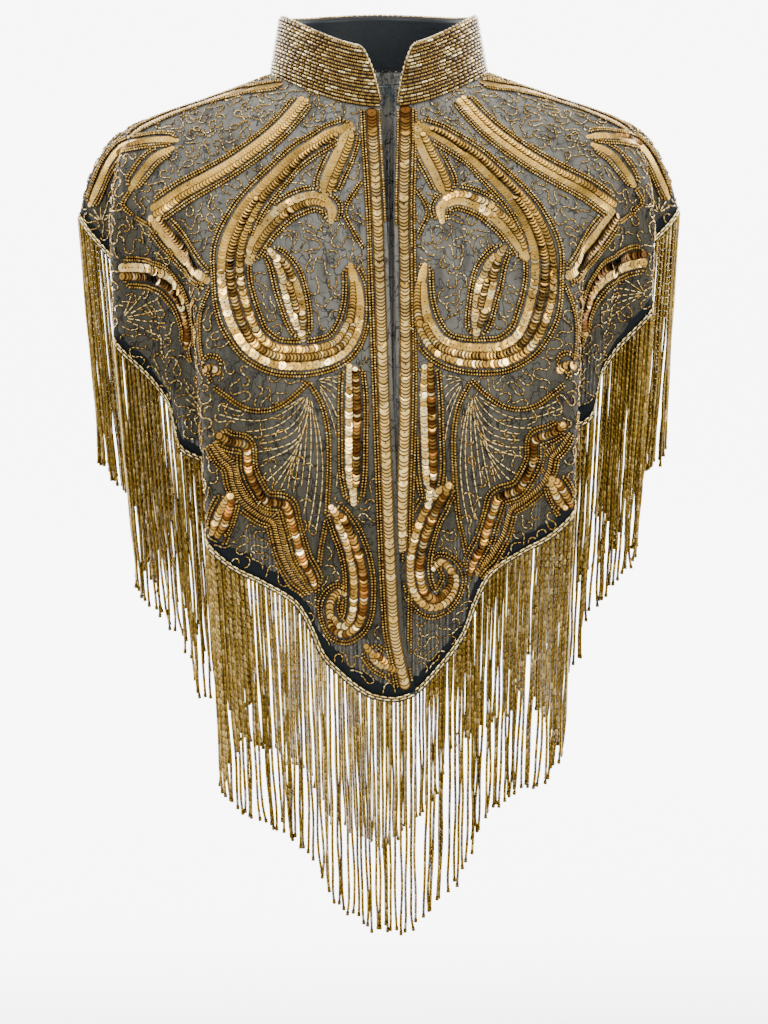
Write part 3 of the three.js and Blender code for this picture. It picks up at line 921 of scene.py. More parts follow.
class CAPE_OT_collar(bpy.types.Operator):
    """Make the stand collar, its rows of bugle beads, its bead edges and its black lining"""
    bl_idname = "cape.collar"
    bl_label = "Collar"

    def execute(self, context):
        net, beads = context.scene.cape_net, context.scene.cape_beads
        half = COLLAR["wall"] / 2

        def shell(name, out, thickness, setback, material, node):
            def place(across, down):
                angle = collar_angle(across, setback)
                height = (wing_height(angle, setback) - setback + FOOT) * (1 - down) - FOOT
                return collar_point(angle, height, out), np.zeros_like(down)
            mesh = sheet_mesh(name, COLLAR_COLUMNS, COLLAR_ROWS, place)
            made = thicken(piece(name, mesh, material), thickness)
            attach(made, BODY)
            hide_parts(node)
            area = sum(face.area for face in mesh.polygons)

        shell("collar_ground", 0, COLLAR["wall"] * MM, 0, ground_cloth_material(), "collar")
        shell("collar_satin", -half - SEAM - 0.5, MM, 1.0, satin_material(net), "collar_lining")

        rng = np.random.default_rng(11)
        length_mm, wide = beads.bugle / MM, beads.bugle_width / MM
        pitch = COLLAR_HEIGHT / COLLAR["rows"]
        places, along, tones, sizes = [], [], [], []
        for row in range(-1, COLLAR["rows"]):
            height = (row + 0.5) * pitch
            # Each row runs from one wing's edge to the other's
            inset = math.degrees(np.interp(height, WING[:, 1], WING[:, 0]) / RINGS[0]["front"])
            angle, end = COLLAR["left_end"] + inset + 0.4, 360 + COLLAR["right_end"] - inset - 0.4
            long = length_mm * rng.uniform(0.35, 1.0)
            phase = rng.uniform(0, 2 * math.pi)
            while angle < end:
                reach = float(ring_reach(RINGS[0], np.array(angle))) + half - COLLAR["lean"] * height
                turn = min(math.degrees(long / reach), end - angle)
                if turn * reach > SHORTEST:
                    lift = 0.14 * math.sin(math.radians(angle) * 4 + row * 0.5 + phase)
                    ends = collar_point(np.array([angle, angle + turn]),
                                        np.array([height + lift, height + lift + rng.normal(0, 0.05)]), half + 0.6)
                    places.append(ends.mean(0))
                    along.append(ends[1] - ends[0])
                    # One bead in seven is painted paler, a painted highlight
                    tones.append(rng.normal(0.42, 0.12) + (0.36 if rng.random() < 0.14 else 0))
                    sizes.append((math.radians(turn) * reach * 0.97, wide, wide))
                angle += turn + math.degrees(0.22 / reach)
                long = length_mm * rng.uniform(0.85, 1.08)
        # The edge row runs up one wing, round the top and down the other
        rim = collar_angle(np.linspace(0, 1, 4000))
        out = half - EDGE_INSET
        foot = np.linspace(0, 2.5, 20)
        rim_line = np.vstack([collar_point(rim[:1].repeat(20), foot, out),
                              collar_point(rim, wing_height(rim) + 0.2, out),
                              collar_point(rim[-1:].repeat(20), foot[::-1], out)])
        travelled = running(rim_line)
        stops = np.arange(0, travelled[-1] - 3.0, EDGE_PITCH)
        start, end = (points_at(spots, travelled, rim_line) for spots in (stops, stops + EDGE_BEAD[0]))
        places.extend((start + end) / 2)
        along.extend(end - start)
        tones.extend(rng.normal(0.66, 0.12, len(stops)))
        sizes.extend([EDGE_BEAD] * len(stops))

        places, along = np.array(places), unit(np.array(along))
        outward = unit(places * np.array([1, 1, 0]) + np.array([0, 0, 8.0]))
        across = unit(np.cross(outward, along))
        gilt = gilt_material("collar_bugles", bead_tints(beads, 0.5, 0.55), (0.12, 0.24), coat=0.3)
        made = joined("collar_bugles", bead_template(bugle_shape), places, along, across, np.array(sizes),
                      np.clip(tones, 0, 1), gilt)
        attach(made, BODY)
        return {"FINISHED"}


# Ornament, placed in the picture's pixels on the wearer's right front: x, y, width of the sequins

BANDS = {
    "shoulder_line": ("f", [(283, 84, 6), (240, 92, 8), (195, 106, 8), (150, 124, 8), (128, 139, 4)]),
    "shoulder_band": ("fg", [(305, 99, 13), (277, 131, 14), (244, 157, 15), (212, 177, 16), (181, 194, 16),
                             (155, 211, 15)]),
    "chevron": ("ot", [(153, 216, 14), (173, 241, 17), (190, 262, 15), (208, 281, 7)]),
    "scroll": ("ftg", [(352, 124, 7), (329, 136, 14), (303, 153, 15), (279, 175, 17), (255, 201, 20),
                       (240, 227, 24), (231, 255, 27), (231, 282, 29), (235, 302, 31), (242, 323, 30),
                       (254, 343, 27), (272, 355, 25), (295, 358, 25), (318, 356, 24), (340, 347, 22),
                       (352, 328, 20), (356, 305, 16), (355, 285, 12), (350, 264, 4)]),
    "hook": ("og", [(351, 129, 8), (347, 140, 15), (341, 155, 17), (333, 172, 17), (327, 188, 15),
                    (326, 196, 6)]),
    "curl": ("og", [(331, 224, 4), (331, 208, 10), (314, 199, 15), (290, 207, 16), (269, 225, 16),
                    (255, 245, 14), (249, 262, 8)]),
    "leaf": ("ptf", [(268, 248, 4), (283, 268, 16), (292, 294, 21), (298, 318, 18), (303, 340, 5)]),
    "pillar": ("pc", [(352, 366, 12), (353, 400, 16), (353, 440, 16), (353, 475, 15), (354, 504, 6)]),
    "spiral": ("gc", [(331, 507, 6), (342, 523, 15), (352, 547, 18), (358, 572, 19), (359, 597, 20),
                      (356, 619, 19), (346, 630, 16), (336, 627, 14), (330, 614, 11), (331, 601, 9),
                      (338, 592, 7), (345, 594, 5)]),
    "tip_leaf": ("gc", [(366, 646, 6), (374, 656, 12), (385, 665, 12), (396, 670, 6)]),
    "scallop": ("c", [(217, 434, 8), (229, 441, 8), (246, 446, 8), (249, 469, 8), (257, 488, 8),
                      (267, 501, 8), (285, 505, 8), (291, 521, 8), (296, 537, 8), (303, 560, 8),
                      (312, 577, 7), (316, 590, 4)]),
    "tip_vein": ("fc", [(177, 141, 4), (164, 140, 9), (142, 142, 12), (123, 148, 12), (110, 162, 11),
                        (101, 181, 10), (90, 206, 5)]),
    "tip_vein_low": ("fg", [(174, 148, 5), (155, 158, 11), (142, 173, 11), (131, 190, 6)]),
    "side_fold": ("co", [(121, 272, 18), (140, 272, 19), (158, 276, 18), (172, 286, 15), (182, 304, 12),
                         (189, 330, 9), (187, 348, 6)]),
    "low_fold": ("g", [(204, 371, 11), (209, 368, 15), (214, 369, 15), (219, 373, 11)]),
    "corner_leaf": ("gc", [(231, 495, 10), (226, 508, 16), (220, 523, 18), (214, 536, 12)]),
}
# On the wearer's left front this larger spiral takes the place of the spiral and the tip leaf
LEFT_SPIRAL = ("gc", [(451, 483, 8), (438, 498, 17), (426, 520, 20), (417, 549, 20), (415, 572, 20),
                      (419, 592, 20), (431, 603, 19), (444, 599, 16), (453, 583, 13), (450, 569, 10),
                      (441, 562, 8), (433, 569, 5)])
RIGHT_ONLY = ("spiral", "tip_leaf")
# Where the sequins have been turned about and glitter, with painted glints among them: shares of a band's length
GLITTER = {"scroll": (0.42, 0.9), "leaf": (0.1, 1), "pillar": (0, 1), "spiral": (0, 1), "left_spiral": (0, 1),
           "side_fold": (0, 1), "low_fold": (0, 1), "scallop": (0, 1), "tip_leaf": (0, 1), "corner_leaf": (0, 1),
           "curl": (0.3, 0.6)}

# Double rows of seed beads with nothing between them
LINES = {
    "swag": [(309, 381), (294, 396), (276, 408), (259, 411), (244, 408), (223, 394), (214, 387)],
    "stem": [(310, 384), (322, 406), (328, 433), (329, 462), (328, 491), (326, 521), (321, 550),
             (318, 580), (317, 600)],
    "notch": [(362, 181), (352, 196), (345, 212), (353, 231), (363, 248)],
    "side": [(211, 287), (201, 318), (202, 350), (212, 384)],
    "side_low": [(196, 300), (188, 335), (192, 362)],
    "tip": [(136, 217), (160, 233), (182, 262), (205, 288)],
    "tip_seam": [(131, 192), (124, 205), (134, 216)],
    "hem_leaf": [(238, 512), (231, 530), (224, 545)],
    "tip_low": [(360, 655), (382, 675), (400, 681)],
}
# Ladders of short bugles between two rows of seeds: x, y, width
LADDER = [(213, 443, 9), (222, 457, 11), (232, 467, 12), (236, 485, 12), (246, 502, 12), (262, 514, 12),
          (275, 520, 12), (280, 537, 12), (285, 555, 12), (297, 577, 11), (311, 594, 7)]
# Lines of bugle beads that fan out from a point: where each ends, and how far it bows sideways
FAN_ROOT = (309, 392)
FAN = [(219, 404, -16), (218, 414, -17), (242, 432, -13), (258, 437, -14), (256, 444, -18), (256, 452, -22),
       (259, 462, -20), (262, 485, -14), (272, 489, -9), (280, 490, -5), (287, 494, 2), (293, 495, 0),
       (301, 490, -1), (303, 520, -5), (308, 532, -9), (316, 530, -10)]
FAN_RIGHT_ROOT = (316, 381)
FAN_RIGHT = [(343, 378, -2), (343, 387, -4), (344, 402, -6), (343, 430, -9), (340, 462, -10), (336, 490, -10)]
RAYS_ROOT = (322, 190)
RAYS = [(262, 217, 5), (268, 204, 4), (288, 183, 2), (306, 172, 1)]
SIDE_FANS = [((102, 222), [(88, 212), (92, 205), (101, 199), (112, 196), (120, 200), (124, 208)]),
             ((123, 318), [(133, 292), (147, 290), (160, 297), (168, 309), (171, 324), (163, 338)]),
             ((204, 412), [(184, 385), (183, 396), (186, 408), (194, 420)])]


Spots = namedtuple("Spots", "angle at place normal ahead")


class Course:
    """A smooth line on a panel, through places given as angle and share of the way down. Values that
    are given with the places, such as widths, are carried along it as well."""

    STEP = 0.8

    def __init__(self, panel, knots, values=None):
        self.panel = panel
        knots = np.asarray(knots, float)
        spots = panel.point(knots[:, 0], knots[:, 1])
        apart = running(spots)
        fine = np.linspace(0, apart[-1], max(int(apart[-1] / self.STEP), 8))
        data = knots if values is None else np.column_stack([knots, values])
        line = np.stack([flowing(apart, data[:, k], fine) for k in range(data.shape[1])], -1)
        places = panel.point(line[:, 0], line[:, 1])
        self.run = running(places)
        self.line = line
        self.length = self.run[-1]

    def at(self, along):
        return tuple(np.interp(along, self.run, self.line[:, k]) for k in range(self.line.shape[1]))

    def frame(self, along):
        """Angle, share, the way ahead and the way across, at distances along."""
        low = np.clip(along - 0.6, 0, self.length)
        high = np.clip(along + 0.6, 0, self.length)
        angle, at = self.at(along)[:2]
        ends = [self.panel.point(*self.at(spot)[:2]) for spot in (low, high)]
        ahead = unit(ends[1] - ends[0])
        return angle, at, ahead, unit(np.cross(self.panel.normal(angle, at), ahead))

    def beside(self, along, offset):
        """Spots at an offset across the line."""
        angle, at, ahead, across = self.frame(along)
        offset = np.broadcast_to(offset, angle.shape)
        angle, at = self.panel.step(angle, at, across * offset[:, None])
        at = np.clip(at, 0, 1)
        return Spots(angle, at, self.panel.point(angle, at), self.panel.normal(angle, at), ahead)


class Picker:
    """Finds the place on a panel that a pixel of the picture shows: the nearest on a coarse grid, and
    from there one step along the surface."""

    TURN, FALL = 0.2, 0.002

    def __init__(self, panel, low, high):
        angles, shares = np.meshgrid(np.arange(low, high, 0.5), np.arange(0, 1.0001, 0.005), indexing="ij")
        self.angles, self.shares = angles.ravel(), shares.ravel()
        places = panel.point(self.angles, self.shares)
        facing = dot(panel.normal(self.angles, self.shares), camera_axes()[0] - places)
        seen = facing > -40
        self.angles, self.shares = self.angles[seen], self.shares[seen]
        self.pixels = picture_point(places[seen])
        self.panel = panel

    def find(self, pixel):
        pixel = np.asarray(pixel[:2], float)
        best = np.argmin(np.sum((self.pixels - pixel) ** 2, -1))
        angle, at = self.angles[best], self.shares[best]
        spots = np.array([(angle, at), (angle + self.TURN, at), (angle, min(at + self.FALL, 1))])
        here, turned, fallen = picture_point(self.panel.point(spots[:, 0], spots[:, 1]))
        slope = np.column_stack([(turned - here) / self.TURN, (fallen - here) / max(spots[2, 1] - at, 1e-6)])
        if abs(np.linalg.det(slope)) > 5 and at < 0.995:
            change = np.linalg.solve(slope, pixel - here)
            if abs(change[0]) < 1 and abs(change[1]) < 0.01:
                angle, at = angle + change[0], at + change[1]
        return angle, at


PIXEL = 0.61                      # millimetres of cloth at the front for a pixel of the picture
CLEARANCE = 0.3                   # between the beads and the cloth


def versions():
    """How the ornament of the right front is repeated: panel, and where a place goes."""
    yield PANELS["front_right"], lambda knots: knots
    yield PANELS["front_left"], lambda knots: knots * (-1, 1)
    yield PANELS["back"], lambda knots: knots * (-1, 1) + (180, 0)
    yield PANELS["back"], lambda knots: knots + (180, 0)


class Work:
    """Gathers beads and sequins before they are made into a few meshes. room is how much of the cloth
    round a bead is taken, in millimetres."""

    TOUCHING = 0.72               # share of the room at which two things lie on each other

    def __init__(self):
        self.items = {}
        self.spots = {name: [] for name in PANELS}

    def add(self, kind, panel, places, along, across, size, tone, room=2.0, rim=1.0):
        if not len(places):
            return
        size = np.broadcast_to(size, (len(places), 3))
        tone = np.broadcast_to(tone, len(places))
        rim = np.full(len(places), float(rim))
        self.items.setdefault((kind, panel.name), []).append((places, along, across, size, tone, rim))
        self.spots[panel.name].append(np.column_stack([places, np.full(len(places), room)]))

    def clear(self, panel, places):
        """Which places are off everything that has been laid so far."""
        free = np.ones(len(places), bool)
        for spots in self.spots[panel.name]:
            low, high = spots[:, :3].min(0) - 4, spots[:, :3].max(0) + 4
            near = np.all((places > low) & (places < high), axis=1) & free
            if near.any():
                apart = np.linalg.norm(places[near][:, None] - spots[None, :, :3], axis=-1)
                free[near] = np.all(apart > spots[None, :, 3] * self.TOUCHING, axis=1)
        return free

    def make(self, kind, template, material, slot, parts=None, rounded=True):
        """The meshes of a kind, one for each panel, or for each of its parts."""
        for name in PANELS:
            rows = self.items.get((kind, name))
            if not rows:
                continue
            places, along, across, size, tone, rim = (np.concatenate([row[k] for row in rows]) for k in range(6))
            sides = places[:, 0] < 0
            chosen = [("", np.ones(len(places), bool))]
            if parts and name in parts:
                chosen = [("_right", sides), ("_left", ~sides)]
            for suffix, mask in chosen:
                if not mask.any():
                    continue
                made = joined(f"{kind}_{name}{suffix}", template, places[mask], along[mask], across[mask],
                              size[mask], tone[mask], material, rounded, rim[mask])
                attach(made, BODY)


WORK = Work()


def seed_rows(rng, panel, course, offsets, pointed=False):
    """Rows of seed beads at offsets from a course, which may be arrays along it. Where the course is
    pointed, its rows meet past its ends."""
    beads = bpy.context.scene.cape_beads
    pitch, wide = beads.pitch / MM, beads.seed / MM
    along = np.arange(0, course.length, 0.4)
    if len(along) < 3:
        return
    laid = []
    for offset in offsets:
        shift = np.interp(along, course.run, offset) if np.ndim(offset) else np.full(len(along), float(offset))
        if pointed:
            shift = shift * np.clip(np.minimum(along, course.length - along) / 4.5, 0.12, 1) ** 0.6
        angle, at, place, normal, ahead = course.beside(along, shift)
        step = dot(np.diff(place, axis=0, prepend=place[:1]), ahead)
        run = np.cumsum(np.clip(step, 0, None))
        stops = np.arange(rng.uniform(0, pitch), run[-1], pitch)
        run = run + np.arange(len(run)) * 1e-6
        angle, at = (np.interp(stops, run, values) for values in (angle, at))
        place, normal = panel.point(angle, at), panel.normal(angle, at)
        ahead = unit(points_at(stops, run, ahead))
        keep = panel.holds(angle, at, 1.4)
        place, normal, ahead = place[keep], normal[keep], ahead[keep]
        place = place + normal * (wide / 2 + CLEARANCE)
        free = WORK.clear(panel, place)
        place, normal, ahead = place[free], normal[free], ahead[free]
        count = len(place)
        coppery = 0.14 * smooth(0.5, 0.8, at[keep][free])
        tones = np.clip(rng.normal(0.5, 0.14, count) - coppery, 0, 1)
        size = np.stack([np.full(count, wide), *([rng.uniform(0.94, 1.06, count) * wide] * 2)], -1)
        laid.append((place, ahead, unit(np.cross(normal, ahead)), size, tones))
    for row in laid:
        WORK.add("seeds", panel, *row, room=2.0)


# Tone, tilt and spread (both in degrees) of the kinds of sequin rows: flat gold, olive, gold, pale,
# copper, tilted gold and edge
ROWS = {"f": (0.50, 4.5, 0.8), "o": (0.56, 4.5, 1.2), "g": (0.48, 10, 2.0), "p": (0.72, 7, 3.0),
        "c": (0.14, 22, 3.5), "t": (0.47, 23, 2.5), "e": (0.66, 8, 2.4)}

# What the rim mask reaches at a sequin's edge: the more, the wider its painted shade at the edge, and none below
# RIM_FROM
RIMS = {"f": 0.92, "o": 0.84, "g": 1.16, "p": 1.04, "t": 1.22, "c": 1.15, "e": 1.12}


def sequin_band(rng, panel, course, widths, kinds, diameter, pitch, glitter=(2, 2), dark_until=0.0):
    """Overlapping sequins in side-by-side rows that fill a band."""
    row_width = diameter * 0.86
    laid = []
    for row, kind in enumerate(kinds):
        tone, tilt, spread = ROWS[kind]
        along = np.arange(rng.uniform(0, pitch), course.length, pitch)
        width = np.interp(along, course.run, widths)
        rows = np.clip(np.round(width / row_width), 1, len(kinds))
        fits = row < rows
        along, width, rows = along[fits], width[fits], rows[fits]
        offset = ((row + 0.5) / rows - 0.5) * np.maximum(width - diameter * 0.1, 0)
        size = np.clip(width / rows * 1.12, diameter * 0.6, diameter)
        angle, at, place, normal, ahead = course.beside(along, offset)
        keep = panel.holds(angle, at, 2.6)
        along, angle, at, place, normal, ahead, size = (
            x[keep] for x in (along, angle, at, place, normal, ahead, size))
        count = len(place)
        if not count:
            continue
        share = along / course.length
        turned = (share > glitter[0]) & (share < glitter[1])
        loose = np.where(turned, 5.5, spread)
        lean = np.radians(tilt + rng.normal(0, 1, count) * loose)[:, None]
        side = unit(np.cross(normal, ahead))
        sway = np.radians(rng.normal(0, 1, count) * loose)[:, None]
        forward = unit(ahead * np.cos(lean) + normal * np.sin(lean))
        side = unit(side * np.cos(sway) + normal * np.sin(sway))
        lift = 0.6 + 0.4 * size * np.sin(np.abs(lean[:, 0])) + 0.12 * (row % 2)
        # Painted reflections: in the turned stretches the tone spreads more, and one sequin in eight gets a pale
        # tone as a painted glint
        tones = rng.normal(tone, 0.05, count) + np.where(turned, rng.normal(0, 0.13, count), 0)
        tones = np.where(turned & (rng.random(count) < 0.12), rng.uniform(0.85, 1.0, count), tones)
        tones = np.where(at < dark_until, rng.uniform(0.0, 0.09, count) + 0.3 * (at / dark_until) ** 3, tones)
        place = place + normal * lift[:, None]
        free = WORK.clear(panel, place)
        laid.append([x[free] for x in (place, forward, side, np.stack([size, size, size], -1),
                                       np.clip(tones, 0, 1))] + [RIMS[kind]])
    for *row, rim in laid:
        WORK.add("sequins", panel, *row, room=3.3, rim=rim)


def bugle_line(rng, panel, course, start, long=3.6, wide=0.95, gap=0.7):
    """A line of bugle beads laid end to end."""
    along = np.arange(start, course.length - long, long + gap)
    if not len(along):
        return
    low, high = (course.beside(along + shift, 0.0) for shift in (0.0, long))
    keep = panel.holds(low.angle, low.at, 1.5) & panel.holds(high.angle, high.at, 1.5)
    keep &= WORK.clear(panel, (low.place + high.place) / 2 + low.normal * 0.8)
    if not keep.any():
        return
    low, high = (Spots(*(values[keep] for values in end)) for end in (low, high))
    normal = unit(low.normal + high.normal)
    ahead = unit(high.place - low.place)
    WORK.add("bugles", panel, (low.place + high.place) / 2 + normal * (wide / 2 + CLEARANCE), ahead,
             unit(np.cross(normal, ahead)), (long, wide, wide),
             np.clip(rng.normal(0.68, 0.1, len(ahead)), 0, 1), room=1.7)


class CAPE_OT_ornament(bpy.types.Operator):
    """Lay the scrolls, leaves and bands of sequins with their borders of seed beads"""
    bl_idname = "cape.ornament"
    bl_label = "Scrolls and bands"

    def execute(self, context):
        rng = np.random.default_rng(7)
        sequins, beads = context.scene.cape_sequins, context.scene.cape_beads
        diameter, pitch = sequins.diameter / MM, sequins.pitch / MM
        wide, seed = sequins.centre_diameter / MM, beads.seed / MM
        right = Picker(PANELS["front_right"], -90, 24)
        left = Picker(PANELS["front_left"], -6, 90)
        found = {name: np.array([right.find(knot) for knot in knots]) for name, (_, knots) in BANDS.items()}
        lines = {name: np.array([right.find(knot) for knot in knots]) for name, knots in LINES.items()}
        borders = []

        # Bands of large sequins down both front edges, and a pair down the centre back
        shares = np.linspace(0.012, 0.985, 24)
        reach = np.abs(cloth(np.zeros_like(shares), shares)[:, 1])
        reach_back = np.abs(cloth(np.full_like(shares, 180), shares)[:, 1])
        for name, middle, turn in (("front_right", edge_angle(1, shares), -np.degrees(5.6 / reach)),
                                   ("front_left", edge_angle(2, shares), np.degrees(5.6 / reach)),
                                   ("back", 180, -np.degrees(5.6 / reach_back)),
                                   ("back", 180, np.degrees(5.6 / reach_back))):
            course = Course(PANELS[name], np.column_stack([middle + turn, shares]))
            sequin_band(rng, PANELS[name], course, np.full(len(course.run), wide), "e", wide, pitch * 1.02,
                        dark_until=0.07)
            outward = 1 if turn[0] > 0 else -1
            borders.append((PANELS[name], course, [outward * -(wide / 2 + 1.0), outward * (wide / 2 + 1.0),
                                                   outward * (wide / 2 + 2.8)], False))

        def band(name, panel, knots, kinds, widths):
            course = Course(panel, knots, np.asarray(widths, float) * PIXEL)
            widths = course.line[:, 2]
            sequin_band(rng, panel, course, widths, kinds, diameter, pitch, glitter=GLITTER.get(name, (2, 2)))
            edge = np.maximum(widths, 2.0) / 2 + 0.7
            borders.append((panel, course, [side * (edge + seed * (k + 0.5)) for k in (0, 1) for side in (-1, 1)],
                            True))

        for panel, put in versions():
            for name, (kinds, knots) in BANDS.items():
                if name not in RIGHT_ONLY or panel.name != "front_left":
                    band(name, panel, put(found[name]), kinds, [knot[2] for knot in knots])
        kinds, knots = LEFT_SPIRAL
        band("left_spiral", PANELS["front_left"], np.array([left.find(knot) for knot in knots]), kinds,
             [knot[2] for knot in knots])
        for panel, course, offsets, pointed in borders:
            seed_rows(rng, panel, course, offsets, pointed=pointed)
        for panel, put in versions():
            for name, knots in lines.items():
                if name != "tip_low" or panel.name != "front_left":
                    seed_rows(rng, panel, Course(panel, put(knots)), (-0.9, 0.9))
        return {"FINISHED"}


class CAPE_OT_lines(bpy.types.Operator):
    """Lay the fans, rays and ladders of bugle beads"""
    bl_idname = "cape.lines"
    bl_label = "Bugle lines"

    def execute(self, context):
        rng = np.random.default_rng(19)
        right = Picker(PANELS["front_right"], -90, 24)

        def bowed(root, end, bow):
            root, end = np.array(root, float), np.array(end, float)
            across = np.array([end[1] - root[1], root[0] - end[0]])
            across /= np.linalg.norm(across)
            shares = (0.06, 0.3, 0.55, 0.8, 1.0)
            return np.array([right.find(root + (end - root) * t - across * bow * math.sin(math.pi * t))
                             for t in shares])

        fans = [(FAN_ROOT, FAN), (FAN_RIGHT_ROOT, FAN_RIGHT), (RAYS_ROOT, RAYS)]
        fans += [(root, [(x, y, 0) for x, y in ends]) for root, ends in SIDE_FANS]
        laid = [bowed(root, (x, y), bow) for root, ends in fans for x, y, bow in ends]
        ladder = np.array([right.find(knot) for knot in LADDER])
        for panel, put in versions():
            course = Course(panel, put(ladder), np.array([knot[2] for knot in LADDER], float) * PIXEL)
            widths = course.line[:, 2]
            self.rungs(rng, panel, course, widths)
            seed_rows(rng, panel, course, [side * (widths / 2 + extra) for extra in (0.9, 2.7) for side in (-1, 1)])
            for knots in laid:
                bugle_line(rng, panel, Course(panel, put(knots)), rng.uniform(0, 2))
        return {"FINISHED"}

    def rungs(self, rng, panel, course, widths, pitch=1.5, slant=0.6, wide=1.25):
        """The ladder's slanting rungs, in two halves that meet on its middle line."""
        along = np.arange(0.5, course.length, pitch)
        width = np.interp(along, course.run, widths)
        for side in (-1, 1):
            low = course.beside(along - slant * side, side * 0.25)
            high = course.beside(along + slant * side, side * width / 2)
            keep = panel.holds(low.angle, low.at, 1.5) & panel.holds(high.angle, high.at, 1.5)
            start, end, normal = low.place[keep], high.place[keep], low.normal[keep]
            middle = (start + end) / 2 + normal * 0.9
            free = WORK.clear(panel, middle) if side < 0 else np.ones(len(middle), bool)
            start, end, normal, middle = start[free], end[free], normal[free], middle[free]
            ahead = unit(end - start)
            size = np.stack([np.linalg.norm(end - start, axis=1) * 0.96, *[np.full(len(start), wide)] * 2], -1)
            WORK.add("bugles", panel, middle, ahead, unit(np.cross(normal, ahead)), size,
                     np.clip(rng.normal(0.36, 0.09, len(start)), 0, 1), room=2.2)


AROUND = [(i, j, k) for i in (-1, 0, 1) for j in (-1, 0, 1) for k in (-1, 0, 1)]


class CAPE_OT_vermicelli(bpy.types.Operator):
    """Fill the open net with wandering lines of small bugle beads"""
    bl_idname = "cape.vermicelli"
    bl_label = "Vermicelli"

    CELL = 3.2                    # of the grid in which near beads are looked up
    ROOM = 2.05                   # that a bead takes up, in millimetres round its middle
    STEP, BEAD, WIDE = 2.75, 2.2, 1.05
    MOST, LEAST = 26, 3           # beads in one line
    # Angles between which lines are started on a panel, and how many starts are tried
    STARTS = {"front_right": (-90, 12, 8000), "front_left": (0, 90, 8000), "back": (90, 270, 16000)}

    def execute(self, context):
        rng = np.random.default_rng(23)
        for name, panel in PANELS.items():
            taken = {}
            for spots in WORK.spots[name]:
                for x, y, z, room in spots:
                    taken.setdefault(self.cell((x, y, z)), []).append((x, y, z, room * 0.95))
            low, high, tries = self.STARTS[name]
            for _ in range(tries):
                angle, at = rng.uniform(low, high), rng.uniform(0.015, 0.993)
                if self.free(taken, panel.point(angle, at)) and panel.holds(angle, at, 1.6):
                    self.wander(rng, panel, taken, angle, at)
        return {"FINISHED"}

    def cell(self, place):
        return tuple(int(math.floor(value / self.CELL)) for value in place)

    def free(self, taken, place):
        x, y, z = self.cell(place)
        for i, j, k in AROUND:
            for a, b, c, room in taken.get((x + i, y + j, z + k), ()):
                if (a - place[0]) ** 2 + (b - place[1]) ** 2 + (c - place[2]) ** 2 < room * room:
                    return False
        return True

    def wander(self, rng, panel, taken, angle, at):
        """One line that curls about until it has no room."""
        heading = rng.uniform(0, 2 * math.pi)
        bend, phase = rng.uniform(0.9, 1.2), rng.uniform(0, 2 * math.pi)
        angle, at = np.array([angle]), np.array([at])
        turn, fall = panel.slopes(angle, at)
        place = panel.point(angle, at)[0]
        laid = []
        for count in range(self.MOST):
            east, south = unit(turn[0]), fall[0]
            south = unit(south - east * dot(south, east))
            ahead = east * math.cos(heading) + south * math.sin(heading)
            angle, at = panel.step(angle, at, (ahead * self.STEP)[None])
            if not panel.holds(angle, at, 1.6)[0] or at[0] > 0.995:
                break
            new = panel.point(angle, at)[0]
            if not self.free(taken, (place + new) / 2):
                break
            laid.append((place, new))
            place = new
            turn, fall = panel.slopes(angle, at)
            heading += bend * math.sin(phase + count * 0.64) + rng.normal(0, 0.2)
        if len(laid) < self.LEAST:
            return
        low, high = (np.array(ends) for ends in zip(*laid))
        middle = (low + high) / 2
        for x, y, z in middle:
            taken.setdefault(self.cell((x, y, z)), []).append((x, y, z, self.ROOM))
        ahead = unit(high - low)
        out = unit(np.cross(fall, turn))
        across = unit(np.cross(np.broadcast_to(out, ahead.shape), ahead))
        WORK.add("vermicelli", panel, middle + out * (self.WIDE / 2 + 0.35), ahead, across,
                 (self.BEAD, self.WIDE, self.WIDE), np.clip(rng.normal(0.52, 0.18, len(middle)), 0, 1), room=2.3)


class CAPE_OT_beads(bpy.types.Operator):
    """Make the meshes of the sequins and beads that have been laid"""
    bl_idname = "cape.beads"
    bl_label = "Sequins and beads"

    def execute(self, context):
        beads, sequins = context.scene.cape_beads, context.scene.cape_sequins
        foils = (tuple(sequins.copper), tuple(sequins.gold), tuple(sequins.pale))
        # The sequins' rims carry painted shade, for the shadow where each overlaps the next; the dot is the stitch
        # hole
        foil = gilt_material("sequin_foil", foils, (0.22, 0.36), rim_shade=0.95, dot_size=0.17)
        # The seeds' edges are darkened as painted shade, for the shadow between neighbouring beads
        seed = gilt_material("seed_beads", bead_tints(beads), (0.2, 0.4), coat=0.3, rim_shade=0.8, rim_from=0.66)
        bugle = gilt_material("bugle_lines", bead_tints(beads), (0.16, 0.32), coat=0.4)
        WORK.make("sequins", bead_template(sequin_shape), foil, "sequins", rounded=False)
        WORK.make("seeds", bead_template(seed_shape), seed, "fringe_beads", parts=("back",))
        WORK.make("bugles", bead_template(strand_bead_shape), bugle, "bugle_beads")
        WORK.make("vermicelli", bead_template(small_bugle_shape), bugle, "bugle_beads")
        return {"FINISHED"}


# Hem and fringe

LEFT_FRINGE_STARTS = 8.5          # the left front's fringe begins beside the lap, at this angle
ROOT_DEPTH = 2.4                  # of the strands' roots below the hem
HEM_BEAD, HEM_BEAD_WIDTH, HEM_PITCH = 4.1, 1.3, 4.75
HEM_ROWS = ((-0.2, 0.0), (1.35, 2.2))     # how far below the hem each row lies, and where it starts
TAPE_DEPTH = 2.9


